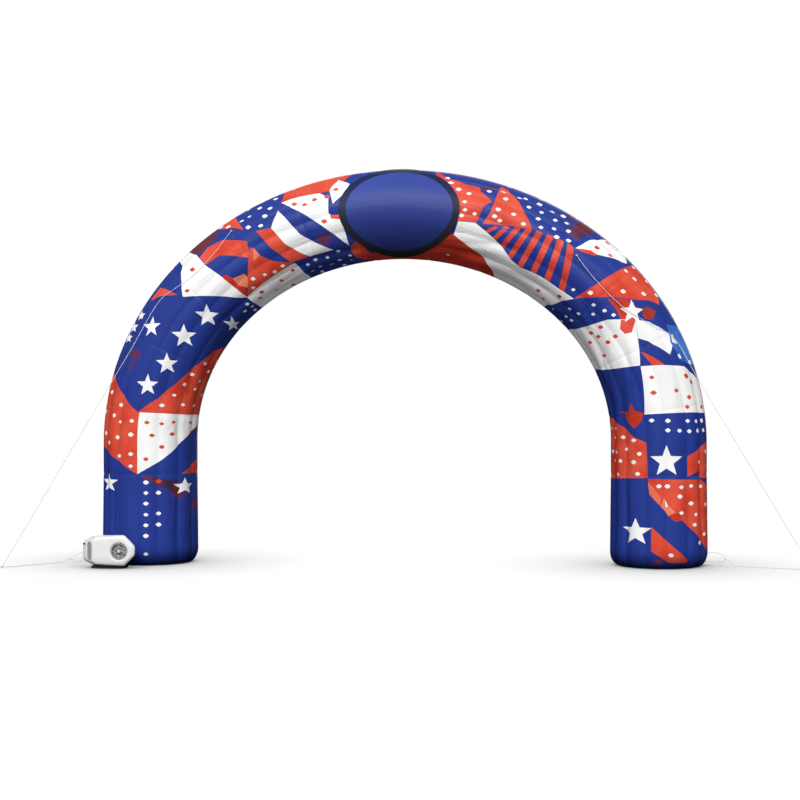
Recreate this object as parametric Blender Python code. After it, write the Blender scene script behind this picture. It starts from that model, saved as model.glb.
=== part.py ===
"""Inflatable event arch: an air-filled fabric tube on two feet, with an oval name panel, guy ropes and a blower.

Metres, +Z up. People pass through along Y, and the blower stands in front (-Y), by the left foot (-X).
The origin is on the ground, at the middle of the object's footprint.
"""

import math
from collections import namedtuple

import bmesh
import bpy
import numpy as np
from mathutils import Matrix, Vector

# The tube's centreline: two straight legs, and half an ellipse over them.
HALF_SPAN = 2.570
STRAIGHT = 1.230
RISE = 2.290
PLANE_Y = 0.145
LEG_RADIUS = 0.477
CROWN_RADIUS = 0.452
FOOT_SPREAD = 0.010
FOOT_SPREAD_HEIGHT = 0.900

# Gores run the whole length of the tube, and a stitched valley lies between each two.
GORES = 14
GORE_PHASE = 4.0
GORE_DEPTH = 0.011
POINTS_PER_GORE = 4

# Cross seams: each draws the tube in a little.
FIRST_SEAM = 0.910
SEAM_COUNT = 14
SEAM_PINCH = 0.005
SEAM_REACH = 0.035
RINGS_BETWEEN_SEAMS = 2
BASE_ROUND = 0.065
BASE_STEPS = 3
LEG_RINGS = (0.30, 0.60)

# Oval name panel on the crown's front: half its width along the tube, and the angle that it reaches up and down.
PANEL_HALF_WIDTH = 0.595
PANEL_REACH = 78.0
BORDER_BANDS = (0.885, 0.930, 0.970, 1.0)
PANEL_THICK = 0.0015
PANEL_LIFT = 0.0014
PANEL_EDGE_GAP = 0.0015
BORDER_LIFT = 0.0019
PANEL_COLUMNS = 16
BORDER_STEPS = 68

GAP = 0.0003

# Guy ropes and base lines
GUY_RADIUS = 0.0025
TETHER_RADIUS = 0.0025
ROPE_LIFT = 0.0030
GUY_KNOT_RADIUS = 0.011
ANCHOR_KNOT_RADIUS = 0.014
BRIDLE_KNOT_RADIUS = 0.009
LOOP_RADIUS = 0.022
LOOP_BITE = 0.007
TAB_LENGTH = 0.060
TAB_WIDTH = 0.044
TAB_THICK = 0.004
BASE_TAB_REACH = 0.059
BASE_TAB_WIDTH = 0.040
BASE_TAB_THICK = 0.005

# Blower: a moulded case on a tray, its front face square to -Y
CASE_LEFT = -3.106
CASE_RIGHT = -2.552
CASE_FRONT = -0.628
CASE_BACK = -0.375
CASE_BOTTOM = 0.026
CASE_TOP = 0.331
CASE_BEVEL = 0.010
END_CHAMFER = 0.132
LEFT_CUT = (0.112, 0.055)
RIGHT_CUT = (0.105, 0.108)
LEFT_DROP = 0.018
FAN_X = -2.712
FAN_Z = 0.173
INTAKE_RADIUS = 0.0800
INTAKE_DEPTH = 0.088
GUARD_THICK = 0.006
FAN_RADIUS = 0.070
FAN_FRONT = CASE_FRONT + 0.020
FAN_BACK = CASE_FRONT + 0.062
FAN_BLADES = 7
HUB_RADIUS = 0.018
SHAFT_RADIUS = 0.006
VENT_ALONG = 0.128
VENT_Z = 0.173
VENT_HALF_HEIGHT = 0.091
VENT_HALF_WIDTH = 0.040
VENT_DEPTH = 0.012
OUTLET_X = -2.800
OUTLET_Z = 0.172
OUTLET_RADIUS = 0.066
OUTLET_REACH = 0.034
SLEEVE_RADIUS = 0.078

# A fold drawn into the cloth by the bend: where its middle lies along the tube and round it, from the front
# towards the outside of the arch, its half length, half width in degrees, depth and its lean in degrees.
Fold = namedtuple("Fold", "along around half_length half_width depth lean")
FOLDS = (
    Fold(along=2.55, around=-62, half_length=0.50, half_width=9, depth=0.012, lean=6),
    Fold(along=3.30, around=-68, half_length=0.45, half_width=9, depth=0.011, lean=-5),
    Fold(along=4.15, around=-72, half_length=0.40, half_width=8, depth=0.009, lean=4),
    Fold(along=5.95, around=-48, half_length=0.50, half_width=8, depth=0.013, lean=7),
    Fold(along=6.35, around=-66, half_length=0.50, half_width=9, depth=0.014, lean=6),
    Fold(along=7.20, around=-58, half_length=0.45, half_width=8, depth=0.012, lean=-6),
    Fold(along=7.55, around=-36, half_length=0.40, half_width=8, depth=0.013, lean=-10),
    Fold(along=8.20, around=-40, half_length=0.45, half_width=8, depth=0.015, lean=-12),
    Fold(along=8.35, around=-66, half_length=0.45, half_width=9, depth=0.012, lean=-6),
    Fold(along=6.60, around=-118, half_length=0.60, half_width=10, depth=0.012, lean=5),
    Fold(along=3.20, around=-124, half_length=0.60, half_width=10, depth=0.012, lean=-5),
)

# A guy rope's hand-placed route over the cloth, as (along the tube, angle round it), from its tab to where it
# leaves for the ground, and the middle of its ground knot.
Guy = namedtuple("Guy", "side route anchor")
GUYS = (
    Guy(
        side="left",
        route=((3.45, 39), (3.31, 31), (3.15, 25), (2.98, 23), (2.82, 26), (2.69, 32), (2.57, 38)),
        anchor=(-3.885, -0.570),
    ),
    Guy(
        side="right",
        route=((6.84, 13), (6.99, 8), (7.16, 5), (7.34, 5), (7.52, 9), (7.68, 18), (7.82, 31), (7.95, 46)),
        anchor=(4.000, -0.250),
    ),
)

# A base line's route from its ground knot to its fork, and each arm's from the fork to its tab on the foot.
Tether = namedtuple("Tether", "side sign line fork upper lower")
TETHERS = (
    Tether(
        side="left",
        sign=-1,
        line=((-3.83, -0.50), (-3.76, -0.41), (-3.68, -0.31), (-3.60, -0.215), (-3.52, -0.13), (-3.45, -0.065)),
        fork=(-3.372, 0.000, 0.033),
        upper=((-3.340, 0.016, 0.064), (-3.280, 0.048, 0.088), (-3.195, 0.096, 0.108)),
        lower=((-3.330, 0.024, 0.016), (-3.270, 0.060, 0.007), (-3.190, 0.104, 0.016)),
    ),
    Tether(
        side="right",
        sign=1,
        line=((3.93, -0.215), (3.83, -0.17), (3.71, -0.12), (3.58, -0.07), (3.46, -0.02), (3.35, 0.025)),
        fork=(3.225, 0.070, 0.070),
        upper=((3.205, 0.084, 0.098), (3.172, 0.108, 0.120)),
        lower=((3.202, 0.086, 0.046), (3.168, 0.112, 0.036)),
    ),
)
BASE_TAB_HEIGHTS = {"upper": 0.128, "lower": 0.038}

BLUE = (0.022, 0.040, 0.250, 1.0)
DARK_BLUE = (0.010, 0.016, 0.060, 1.0)
ROYAL_BLUE = (0.035, 0.065, 0.330, 1.0)
ROPE_WHITE = (0.780, 0.780, 0.770, 1.0)
CASE_WHITE = (0.800, 0.800, 0.795, 1.0)
GRILLE_GREY = (0.230, 0.230, 0.235, 1.0)
TRAY_BLACK = (0.020, 0.020, 0.022, 1.0)


def clear_scene():
    for obj in list(bpy.data.objects):
        bpy.data.objects.remove(obj, do_unlink=True)


def material(name, colour, roughness, metallic=0.0):
    made = bpy.data.materials.new(name)
    made.use_nodes = True
    shader = made.node_tree.nodes["Principled BSDF"]
    shader.inputs["Base Color"].default_value = colour
    shader.inputs["Roughness"].default_value = roughness
    shader.inputs["Metallic"].default_value = metallic
    made.diffuse_color = colour
    return made


def add_object(name, data, finish):
    obj = bpy.data.objects.new(name, data)
    bpy.context.scene.collection.objects.link(obj)
    if finish is not None:
        data.materials.append(finish)
    return obj


def mesh_object(name, points, faces, finish, smooth_angle=40):
    """A mesh from its points and faces, shaded smooth except along edges sharper than smooth_angle."""
    data = bpy.data.meshes.new(name)
    data.from_pydata([tuple(p) for p in points], [], faces)
    data.validate()
    data.shade_smooth()
    data.set_sharp_from_angle(angle=math.radians(smooth_angle))
    return add_object(name, data, finish)


def bmesh_object(name, bm, finish, smooth_angle=40):
    bmesh.ops.recalc_face_normals(bm, faces=bm.faces)
    data = bpy.data.meshes.new(name)
    bm.to_mesh(data)
    bm.free()
    data.shade_smooth()
    data.set_sharp_from_angle(angle=math.radians(smooth_angle))
    return add_object(name, data, finish)


def as_cutter(obj):
    obj.hide_render = True
    obj.display_type = "WIRE"
    return obj


def add_boolean(obj, other, operation):
    modifier = obj.modifiers.new(operation.lower() + "_" + other.name, "BOOLEAN")
    modifier.operation = operation
    modifier.object = other
    modifier.solver = "EXACT"


# The tube's shape ------------------------------------------------------------------------------------------------


def make_centreline():
    """Places along the tube's centreline, and the length up to each, from the left foot to the right one."""
    leg = np.linspace(0.0, STRAIGHT, 200)[:-1]
    turn = np.linspace(0.0, math.pi, 2000)
    x = np.concatenate([np.full(leg.size, -HALF_SPAN), -HALF_SPAN * np.cos(turn), np.full(leg.size, HALF_SPAN)])
    z = np.concatenate([leg, STRAIGHT + RISE * np.sin(turn), leg[::-1]])
    length = np.concatenate([[0.0], np.cumsum(np.hypot(np.diff(x), np.diff(z)))])
    return x, z, length


LINE_X, LINE_Z, LINE_LENGTH = make_centreline()
TUBE_LENGTH = LINE_LENGTH[-1]
SEAM_PITCH = (TUBE_LENGTH - 2 * FIRST_SEAM) / (SEAM_COUNT - 1)


def centre_frame(along):
    """The centreline's point and its unit direction at this length."""
    step = 0.002
    before = max(along - step, 0.0)
    after = min(along + step, TUBE_LENGTH)
    x, z = (float(np.interp(along, LINE_LENGTH, line)) for line in (LINE_X, LINE_Z))
    dx, dz = (float(np.interp(after, LINE_LENGTH, v) - np.interp(before, LINE_LENGTH, v)) for v in (LINE_X, LINE_Z))
    size = math.hypot(dx, dz)
    return x, z, dx / size, dz / size


def crest_radius(along):
    """The tube's radius at the middle of a gore: widest in the legs, and drawn in round the foot's edge."""
    _, z, _, _ = centre_frame(along)
    radius = LEG_RADIUS + (CROWN_RADIUS - LEG_RADIUS) * min(max((z - STRAIGHT) / RISE, 0.0), 1.0)
    foot = min(along, TUBE_LENGTH - along)
    radius += FOOT_SPREAD * max(0.0, 1.0 - foot / FOOT_SPREAD_HEIGHT)
    if foot < BASE_ROUND:
        radius -= BASE_ROUND - math.sqrt(BASE_ROUND**2 - (BASE_ROUND - foot) ** 2)
    return radius


def gore_dip(around):
    return GORE_DEPTH * (1.0 - abs(math.sin(math.radians(GORES / 2 * (around - GORE_PHASE)))))


def seam_dip(along):
    nearest = FIRST_SEAM + SEAM_PITCH * round((along - FIRST_SEAM) / SEAM_PITCH)
    if not FIRST_SEAM - 0.01 <= nearest <= TUBE_LENGTH - FIRST_SEAM + 0.01:
        return 0.0
    return SEAM_PINCH * max(0.0, 1.0 - abs(along - nearest) / SEAM_REACH)


def fold_dip(along, around):
    dip = 0.0
    for fold in FOLDS:
        ahead = (along - fold.along) / fold.half_length
        if abs(ahead) >= 1.0:
            continue
        across = (around - fold.around - fold.lean * ahead) / fold.half_width
        dip += fold.depth * (1.0 - ahead * ahead) ** 2 * math.exp(-across * across)
    return dip


def on_tube(along, around, lift=0.0, plain=False):
    """A point on the tube, this far round from the front towards the outside. Plain leaves the dips out."""
    x, z, dx, dz = centre_frame(along)
    radius = crest_radius(along) + lift
    if not plain:
        radius -= gore_dip(around) + seam_dip(along) + fold_dip(along, around)
    outward = radius * math.sin(math.radians(around))
    forward = radius * math.cos(math.radians(around))
    return Vector((x - outward * dz, PLANE_Y - forward, z + outward * dx))


def tube_normal(along, around):
    _, _, dx, dz = centre_frame(along)
    outward = math.sin(math.radians(around))
    return Vector((-outward * dz, -math.cos(math.radians(around)), outward * dx))


def ring_places():
    """The lengths at which the tube has a ring: close together at the feet and at each seam."""
    foot = [BASE_ROUND * (1.0 - math.cos(math.pi / 2 * i / BASE_STEPS)) for i in range(BASE_STEPS + 1)]
    places = foot + list(LEG_RINGS)
    inner_pitch = SEAM_PITCH - 2 * SEAM_REACH
    for i in range(SEAM_COUNT):
        seam = FIRST_SEAM + i * SEAM_PITCH
        places += [seam - SEAM_REACH, seam, seam + SEAM_REACH]
        if i < SEAM_COUNT - 1:
            step = inner_pitch / (RINGS_BETWEEN_SEAMS + 1)
            places += [seam + SEAM_REACH + step * (j + 1) for j in range(RINGS_BETWEEN_SEAMS)]
    places += [TUBE_LENGTH - p for p in reversed(foot + list(LEG_RINGS))]
    return places


RING_ANGLES = [GORE_PHASE + 360.0 / (GORES * POINTS_PER_GORE) * i for i in range(GORES * POINTS_PER_GORE)]


def tube_mesh(lift=0.0):
    """Rings of points round the tube, closed by a flat face under each foot."""
    places = ring_places()
    count = len(RING_ANGLES)
    angles = [(a + 180.0) % 360.0 - 180.0 for a in RING_ANGLES]
    points = [on_tube(along, around, lift) for along in places for around in angles]
    faces = []
    for i in range(len(places) - 1):
        for j in range(count):
            k = (j + 1) % count
            faces.append((i * count + j, (i + 1) * count + j, (i + 1) * count + k, i * count + k))
    last = (len(places) - 1) * count
    faces.append(tuple(range(count)))
    faces.append(tuple(last + j for j in reversed(range(count))))
    return points, faces


def make_arch_tube():
    cloth = material("printed_cloth", BLUE, 0.42)
    points, faces = tube_mesh()
    return mesh_object("arch_tube", points, faces, cloth, smooth_angle=60)


def make_clearance():
    """The tube a gap larger, which trims whatever is sewn to it."""
    points, faces = tube_mesh(lift=GAP)
    return as_cutter(mesh_object("tube_clearance", points, faces, None))


# Oval panel and its border -----------------------------------------------------------------------------------------


def oval_half_width(around, share=1.0):
    """Half the oval's width at this angle, which looks an ellipse from the front."""
    reach = math.sin(math.radians(PANEL_REACH)) * share
    up = math.sin(math.radians(around)) / reach
    return PANEL_HALF_WIDTH * share * math.sqrt(max(0.0, 1.0 - up * up))


def sheet_between(name, rows, finish, lift, ring=False):
    """A sheet over a grid of places on the tube. A ring's rows close on themselves.

    Each square is split along the diagonal that turns less round the tube, so that it sinks least into it.
    """
    low = [[on_tube(*place, lift=lift, plain=True) for place in row] for row in rows]
    high = [[on_tube(*place, lift=lift + PANEL_THICK, plain=True) for place in row] for row in rows]
    bm = bmesh.new()
    under = [[bm.verts.new(p) for p in row] for row in low]
    over = [[bm.verts.new(p) for p in row] for row in high]
    count = len(rows)
    last = len(rows[0]) - 1
    for i in range(count if ring else count - 1):
        n = (i + 1) % count
        for j in range(last):
            rising = abs(rows[i][j][1] - rows[n][j + 1][1])
            falling = abs(rows[i][j + 1][1] - rows[n][j][1])
            for layer in (under, over):
                a, b, c, d = layer[i][j], layer[i][j + 1], layer[n][j + 1], layer[n][j]
                split = ((a, b, c), (a, c, d)) if rising < falling else ((a, b, d), (b, c, d))
                for corners in split:
                    bm.faces.new(corners)
        for j in (0, last):
            bm.faces.new((under[i][j], over[i][j], over[n][j], under[n][j]))
    if not ring:
        for i in (0, count - 1):
            for j in range(last):
                bm.faces.new((under[i][j], under[i][j + 1], over[i][j + 1], over[i][j]))
    return bmesh_object(name, bm, finish, smooth_angle=50)


def make_oval_panel():
    """The panel's rows lie on the tube's own rings of points, so that it clears each crest by the same lift."""
    share = BORDER_BANDS[0] - PANEL_EDGE_GAP / PANEL_HALF_WIDTH
    tip = math.degrees(math.asin(math.sin(math.radians(PANEL_REACH)) * share))
    step = 360.0 / (GORES * POINTS_PER_GORE)
    lines = [GORE_PHASE + step * i for i in range(-GORES, GORES)]
    inner = [a for a in lines if abs(a) < tip - step / 3]
    angles = [-tip + 0.25] + inner + [tip - 0.25]
    middle = TUBE_LENGTH / 2
    rows = []
    for around in angles:
        half = oval_half_width(around, share)
        spots = np.linspace(-half, half, PANEL_COLUMNS + 1)
        rows.append([(middle + float(spot), around) for spot in spots])
    return sheet_between("oval_panel", rows, material("panel_cloth", ROYAL_BLUE, 0.38), PANEL_LIFT)


def make_oval_border():
    """A band from the panel's edge out to the oval's own edge."""
    reach = math.sin(math.radians(PANEL_REACH))
    middle = TUBE_LENGTH / 2
    rows = []
    for i in range(BORDER_STEPS):
        turn = 2.0 * math.pi * i / BORDER_STEPS
        row = []
        for share in BORDER_BANDS:
            around = math.degrees(math.asin(reach * share * math.sin(turn)))
            row.append((middle + PANEL_HALF_WIDTH * share * math.cos(turn), around))
        rows.append(row)
    finish = material("border_cloth", DARK_BLUE, 0.45)
    return sheet_between("oval_border", rows, finish, BORDER_LIFT, ring=True)


# Ropes, knots and tabs ---------------------------------------------------------------------------------------------


def smooth_route(marks, count):
    """Evenly spaced points on a smooth curve through the marks."""
    marks = [Vector(m) for m in marks]
    ends = [2 * marks[0] - marks[1]] + marks + [2 * marks[-1] - marks[-2]]
    dense = []
    for i in range(1, len(ends) - 2):
        a, b, c, d = ends[i - 1 : i + 3]
        knots = [0.0]
        for first, second in ((a, b), (b, c), (c, d)):
            knots.append(knots[-1] + math.sqrt((second - first).length))
        for t in np.linspace(knots[1], knots[2], 24, endpoint=False):
            ab = a.lerp(b, (t - knots[0]) / (knots[1] - knots[0]))
            bc = b.lerp(c, (t - knots[1]) / (knots[2] - knots[1]))
            cd = c.lerp(d, (t - knots[2]) / (knots[3] - knots[2]))
            abc = ab.lerp(bc, (t - knots[0]) / (knots[2] - knots[0]))
            bcd = bc.lerp(cd, (t - knots[1]) / (knots[3] - knots[1]))
            dense.append(abc.lerp(bcd, (t - knots[1]) / (knots[2] - knots[1])))
    dense.append(marks[-1])
    path = np.array(dense)
    length = np.concatenate([[0.0], np.cumsum(np.linalg.norm(np.diff(path, axis=0), axis=1))])
    spots = np.linspace(0.0, length[-1], count)
    return [Vector([float(np.interp(s, length, path[:, k])) for k in range(3)]) for s in spots]


def make_rope(name, points, radius, finish):
    curve = bpy.data.curves.new(name, "CURVE")
    curve.dimensions = "3D"
    curve.bevel_depth = radius
    curve.bevel_resolution = 2
    curve.use_fill_caps = True
    spline = curve.splines.new("POLY")
    spline.points.add(len(points) - 1)
    for spot, point in zip(spline.points, points):
        spot.co = (*point, 1.0)
    spline.use_smooth = True
    return add_object(name, curve, finish)


def make_ball(name, centre, radius, finish):
    bm = bmesh.new()
    bmesh.ops.create_uvsphere(bm, u_segments=12, v_segments=8, radius=radius)
    bmesh.ops.translate(bm, vec=centre, verts=bm.verts)
    return bmesh_object(name, bm, finish)


def beside(ball, radius, towards):
    """The point a gap off a ball's face, on the way to another point."""
    ball = Vector(ball)
    return ball + (Vector(towards) - ball).normalized() * (radius + GAP)


def guy_knot_centre(guy):
    return on_tube(*guy.route[0], lift=TAB_THICK + GAP + GUY_KNOT_RADIUS, plain=True)


def anchor_centre(guy):
    return Vector((*guy.anchor, ANCHOR_KNOT_RADIUS))


def make_guy_rope(guy, finish):
    """Over the cloth from its knot at the tab, then straight and taut to its ground knot."""
    knot = guy_knot_centre(guy)
    marks = [on_tube(*place, lift=GUY_RADIUS + ROPE_LIFT, plain=True) for place in guy.route[1:]]
    ground = anchor_centre(guy)
    leave = marks[-1]
    marks += [leave.lerp(ground, share) for share in (0.2, 0.4, 0.6, 0.8)]
    start = beside(knot, GUY_KNOT_RADIUS, marks[0])
    end = beside(ground, ANCHOR_KNOT_RADIUS, leave)
    points = smooth_route([start] + marks + [end], 56)
    return make_rope(f"guy_rope_{guy.side}", points, GUY_RADIUS, finish)


def make_anchor_knot(guy, finish):
    """A knot on the ground with the loop for a peg beyond it."""
    centre = anchor_centre(guy)
    knot = make_ball(f"anchor_knot_{guy.side}", centre, ANCHOR_KNOT_RADIUS, finish)
    away = Vector((guy.anchor[0], guy.anchor[1] - PLANE_Y, 0.0)).normalized()
    rope_height = TETHER_RADIUS + GAP
    bm = bmesh.new()
    around, about = 16, 6
    rings = []
    for i in range(around):
        turn = 2.0 * math.pi * i / around
        ring = []
        for j in range(about):
            tilt = 2.0 * math.pi * j / about
            reach = LOOP_RADIUS + TETHER_RADIUS * math.cos(tilt)
            spot = (reach * math.cos(turn), reach * math.sin(turn), TETHER_RADIUS * math.sin(tilt))
            ring.append(bm.verts.new(spot))
        rings.append(ring)
    for i in range(around):
        for j in range(about):
            k, m = (i + 1) % around, (j + 1) % about
            bm.faces.new((rings[i][j], rings[k][j], rings[k][m], rings[i][m]))
    place = Vector((centre.x, centre.y, rope_height)) + away * (LOOP_RADIUS + LOOP_BITE)
    bmesh.ops.translate(bm, vec=place, verts=bm.verts)
    loop = as_cutter(bmesh_object(f"peg_loop_{guy.side}", bm, None))
    add_boolean(knot, loop, "UNION")
    return knot


def box_in_frame(name, centre, axes, lows, highs, finish):
    """A box between two corners, measured from a centre along three unit axes."""
    bm = bmesh.new()
    bmesh.ops.create_cube(bm, size=1.0)
    for vert in bm.verts:
        spot = [lows[k] if vert.co[k] < 0 else highs[k] for k in range(3)]
        vert.co = centre + sum((axes[k] * spot[k] for k in range(3)), Vector())
    return bmesh_object(name, bm, finish)


def tube_axes(along, around):
    """Unit axes at a place on the tube: along it, round it and out of it."""
    _, _, dx, dz = centre_frame(along)
    forward = Vector((dx, 0.0, dz))
    outward = tube_normal(along, around)
    return forward, outward.cross(forward), outward


def make_guy_tab(guy, clearance, finish):
    """A webbing patch sewn flat on the cloth, under its rope's knot."""
    along, around = guy.route[0]
    centre = on_tube(along, around, plain=True)
    half = (TAB_LENGTH / 2, TAB_WIDTH / 2)
    lows = (-half[0], -half[1], -5 * TAB_THICK)
    highs = (half[0], half[1], TAB_THICK)
    tab = box_in_frame(f"guy_tab_{guy.side}", centre, tube_axes(along, around), lows, highs, finish)
    add_boolean(tab, clearance, "DIFFERENCE")
    return tab


def base_tab_tip(sign, level):
    height = BASE_TAB_HEIGHTS[level]
    return Vector((sign * (HALF_SPAN + LEG_RADIUS + BASE_TAB_REACH), PLANE_Y, height))


def make_base_tab(tether, level, clearance, finish):
    """A short webbing tab that stands out of the foot's outer side."""
    tip = base_tab_tip(tether.sign, level)
    axes = (Vector((tether.sign, 0, 0)), Vector((0, 1, 0)), Vector((0, 0, 1)))
    lows = (-BASE_TAB_REACH - 0.060, -BASE_TAB_WIDTH / 2, -BASE_TAB_THICK / 2)
    highs = (0.0, BASE_TAB_WIDTH / 2, BASE_TAB_THICK / 2)
    tab = box_in_frame(f"base_tab_{level}_{tether.side}", tip, axes, lows, highs, finish)
    add_boolean(tab, clearance, "DIFFERENCE")
    return tab


def make_tether(tether, guy, finish):
    """The base line from the ground knot to its fork, and the fork's two arms to the tabs."""
    fork = Vector(tether.fork)
    make_ball(f"bridle_knot_{tether.side}", fork, BRIDLE_KNOT_RADIUS, finish)
    rest = TETHER_RADIUS + GAP
    ground = [Vector((x, y, rest)) for x, y in tether.line]
    knot = anchor_centre(guy)
    start = beside(knot, ANCHOR_KNOT_RADIUS, ground[0])
    marks = [start] + ground + [beside(fork, BRIDLE_KNOT_RADIUS, ground[-1])]
    points = [Vector((p.x, p.y, max(p.z, rest))) for p in smooth_route(marks, 26)]
    make_rope(f"tether_line_{tether.side}", points, TETHER_RADIUS, finish)
    for level, way in (("upper", tether.upper), ("lower", tether.lower)):
        way = [Vector(spot) for spot in way]
        tip = base_tab_tip(tether.sign, level)
        approach = [tip + Vector((tether.sign * off, 0.0, 0.0)) for off in (0.024, 0.012, 2 * GAP)]
        marks = [beside(fork, BRIDLE_KNOT_RADIUS, way[0])] + way + approach
        points = smooth_route(marks, 14)
        make_rope(f"tether_arm_{level}_{tether.side}", points, TETHER_RADIUS, finish)


def make_rigging(clearance):
    rope = material("white_rope", ROPE_WHITE, 0.70)
    webbing = material("webbing", DARK_BLUE, 0.60)
    for guy, tether in zip(GUYS, TETHERS):
        make_guy_tab(guy, clearance, webbing)
        make_ball(f"guy_knot_{guy.side}", guy_knot_centre(guy), GUY_KNOT_RADIUS, rope)
        make_guy_rope(guy, rope)
        make_anchor_knot(guy, rope)
        for level in BASE_TAB_HEIGHTS:
            make_base_tab(tether, level, clearance, webbing)
        make_tether(tether, guy, rope)


# Blower ------------------------------------------------------------------------------------------------------------


def cylinder_y(name, x, z, radius, front, back, segments, finish):
    """A round bar along Y, between two depths."""
    bm = bmesh.new()
    bmesh.ops.create_cone(
        bm, cap_ends=True, segments=segments, radius1=radius, radius2=radius, depth=back - front
    )
    bmesh.ops.rotate(bm, verts=bm.verts, matrix=Matrix.Rotation(math.pi / 2, 3, "X"))
    bmesh.ops.translate(bm, verts=bm.verts, vec=(x, (front + back) / 2, z))
    return bmesh_object(name, bm, finish)


def octagon(left, right, low, high, left_cut, right_cut):
    """A rectangle's outline with its corners cut off by (width, height), as points across and up."""
    return (
        (left + left_cut[0], low),
        (right - right_cut[0], low),
        (right, low + right_cut[1]),
        (right, high - right_cut[1]),
        (right - right_cut[0], high),
        (left + left_cut[0], high),
        (left, high - left_cut[1]),
        (left, low + left_cut[1]),
    )


def end_facet():
    """The chamfered left end of the case: its outer edge, and the unit vectors along it and out of it."""
    start = Vector((CASE_LEFT, CASE_FRONT + END_CHAMFER, 0.0))
    along = Vector((1.0, -1.0, 0.0)).normalized()
    return start, along, Vector((-1.0, -1.0, 0.0)).normalized()


def oblong_prism(name, grow, inner, outer, finish):
    """An upright oblong with round ends on the end facet, grown by a margin, between two heights off it."""
    start, along, out = end_facet()
    half_width = VENT_HALF_WIDTH + grow
    straight = VENT_HALF_HEIGHT - VENT_HALF_WIDTH
    outline = []
    steps = 16
    for i in range(steps):
        turn = 2.0 * math.pi * (i + 0.5) / steps
        lift = straight if math.sin(turn) > 0 else -straight
        outline.append((half_width * math.cos(turn), lift + half_width * math.sin(turn)))
    bm = bmesh.new()
    layers = []
    for height in (inner, outer):
        base = start + along * VENT_ALONG + out * height
        layers.append([bm.verts.new(base + along * u + Vector((0, 0, VENT_Z + v))) for u, v in outline])
    bm.faces.new(layers[0])
    bm.faces.new(layers[1])
    for i in range(steps):
        k = (i + 1) % steps
        bm.faces.new((layers[0][i], layers[0][k], layers[1][k], layers[1][i]))
    return bmesh_object(name, bm, finish)


def make_blower_housing(finish):
    """The moulded case: an eight-sided block, chamfered at its left end and narrower at its back.

    Its front has a round intake pocket with the motor's shaft in it.
    """
    rim_y = CASE_FRONT + 0.020
    rear_y = CASE_BACK - 0.018
    front = octagon(
        CASE_LEFT + END_CHAMFER, CASE_RIGHT - 0.018, CASE_BOTTOM + 0.020, CASE_TOP - 0.026, (0.030, 0.030), (0.096, 0.096)
    )
    rim = octagon(CASE_LEFT, CASE_RIGHT, CASE_BOTTOM, CASE_TOP, LEFT_CUT, RIGHT_CUT)
    rear = octagon(CASE_LEFT + 0.012, CASE_RIGHT - 0.062, CASE_BOTTOM, CASE_TOP - 0.020, LEFT_CUT, RIGHT_CUT)
    back = octagon(
        CASE_LEFT + 0.035, CASE_RIGHT - 0.086, CASE_BOTTOM + 0.020, CASE_TOP - 0.042, LEFT_CUT, (0.096, 0.096)
    )
    facet_end = CASE_LEFT + LEFT_CUT[0] + 0.001
    middle_z = (CASE_BOTTOM + CASE_TOP) / 2
    bm = bmesh.new()
    for x, z in front:
        bm.verts.new((x, CASE_FRONT, z))
    for x, z in rim:
        if x > facet_end:
            bm.verts.new((x, rim_y, z))
        else:
            bm.verts.new((x, CASE_FRONT + END_CHAMFER, z - LEFT_DROP if z > middle_z else z))
    for x, z in rear:
        bm.verts.new((x, rear_y, z))
    for x, z in back:
        bm.verts.new((x, CASE_BACK, z))
    bmesh.ops.convex_hull(bm, input=bm.verts)
    bmesh.ops.dissolve_limit(bm, angle_limit=math.radians(2), verts=bm.verts, edges=bm.edges)
    case = bmesh_object("blower_housing", bm, finish, smooth_angle=35)
    bevel = case.modifiers.new("rounded_edges", "BEVEL")
    bevel.width = CASE_BEVEL
    bevel.segments = 2
    bevel.limit_method = "ANGLE"
    bevel.angle_limit = math.radians(20)
    pocket_back = CASE_FRONT + INTAKE_DEPTH
    pocket = cylinder_y("intake_cut", FAN_X, FAN_Z, INTAKE_RADIUS, CASE_FRONT - 0.02, pocket_back, 36, None)
    add_boolean(case, as_cutter(pocket), "DIFFERENCE")
    recess = oblong_prism("vent_cut", 0.0, -VENT_DEPTH, 0.02, None)
    add_boolean(case, as_cutter(recess), "DIFFERENCE")
    shaft = cylinder_y("shaft_form", FAN_X, FAN_Z, SHAFT_RADIUS, FAN_BACK - 0.020, pocket_back + 0.01, 16, None)
    add_boolean(case, as_cutter(shaft), "UNION")
    return case


def make_blower_base(finish):
    """A flat tray with cut corners, which lies on the ground under the case."""
    cut = (0.030, 0.030)
    outline = octagon(CASE_LEFT + 0.100, CASE_RIGHT - 0.110, CASE_FRONT + 0.060, CASE_BACK - 0.035, cut, cut)
    bm = bmesh.new()
    layers = [[bm.verts.new((x, y, z)) for x, y in outline] for z in (0.0, CASE_BOTTOM - GAP)]
    bm.faces.new(layers[0])
    bm.faces.new(layers[1])
    for i in range(8):
        k = (i + 1) % 8
        bm.faces.new((layers[0][i], layers[0][k], layers[1][k], layers[1][i]))
    return bmesh_object("blower_base", bm, finish)


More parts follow.
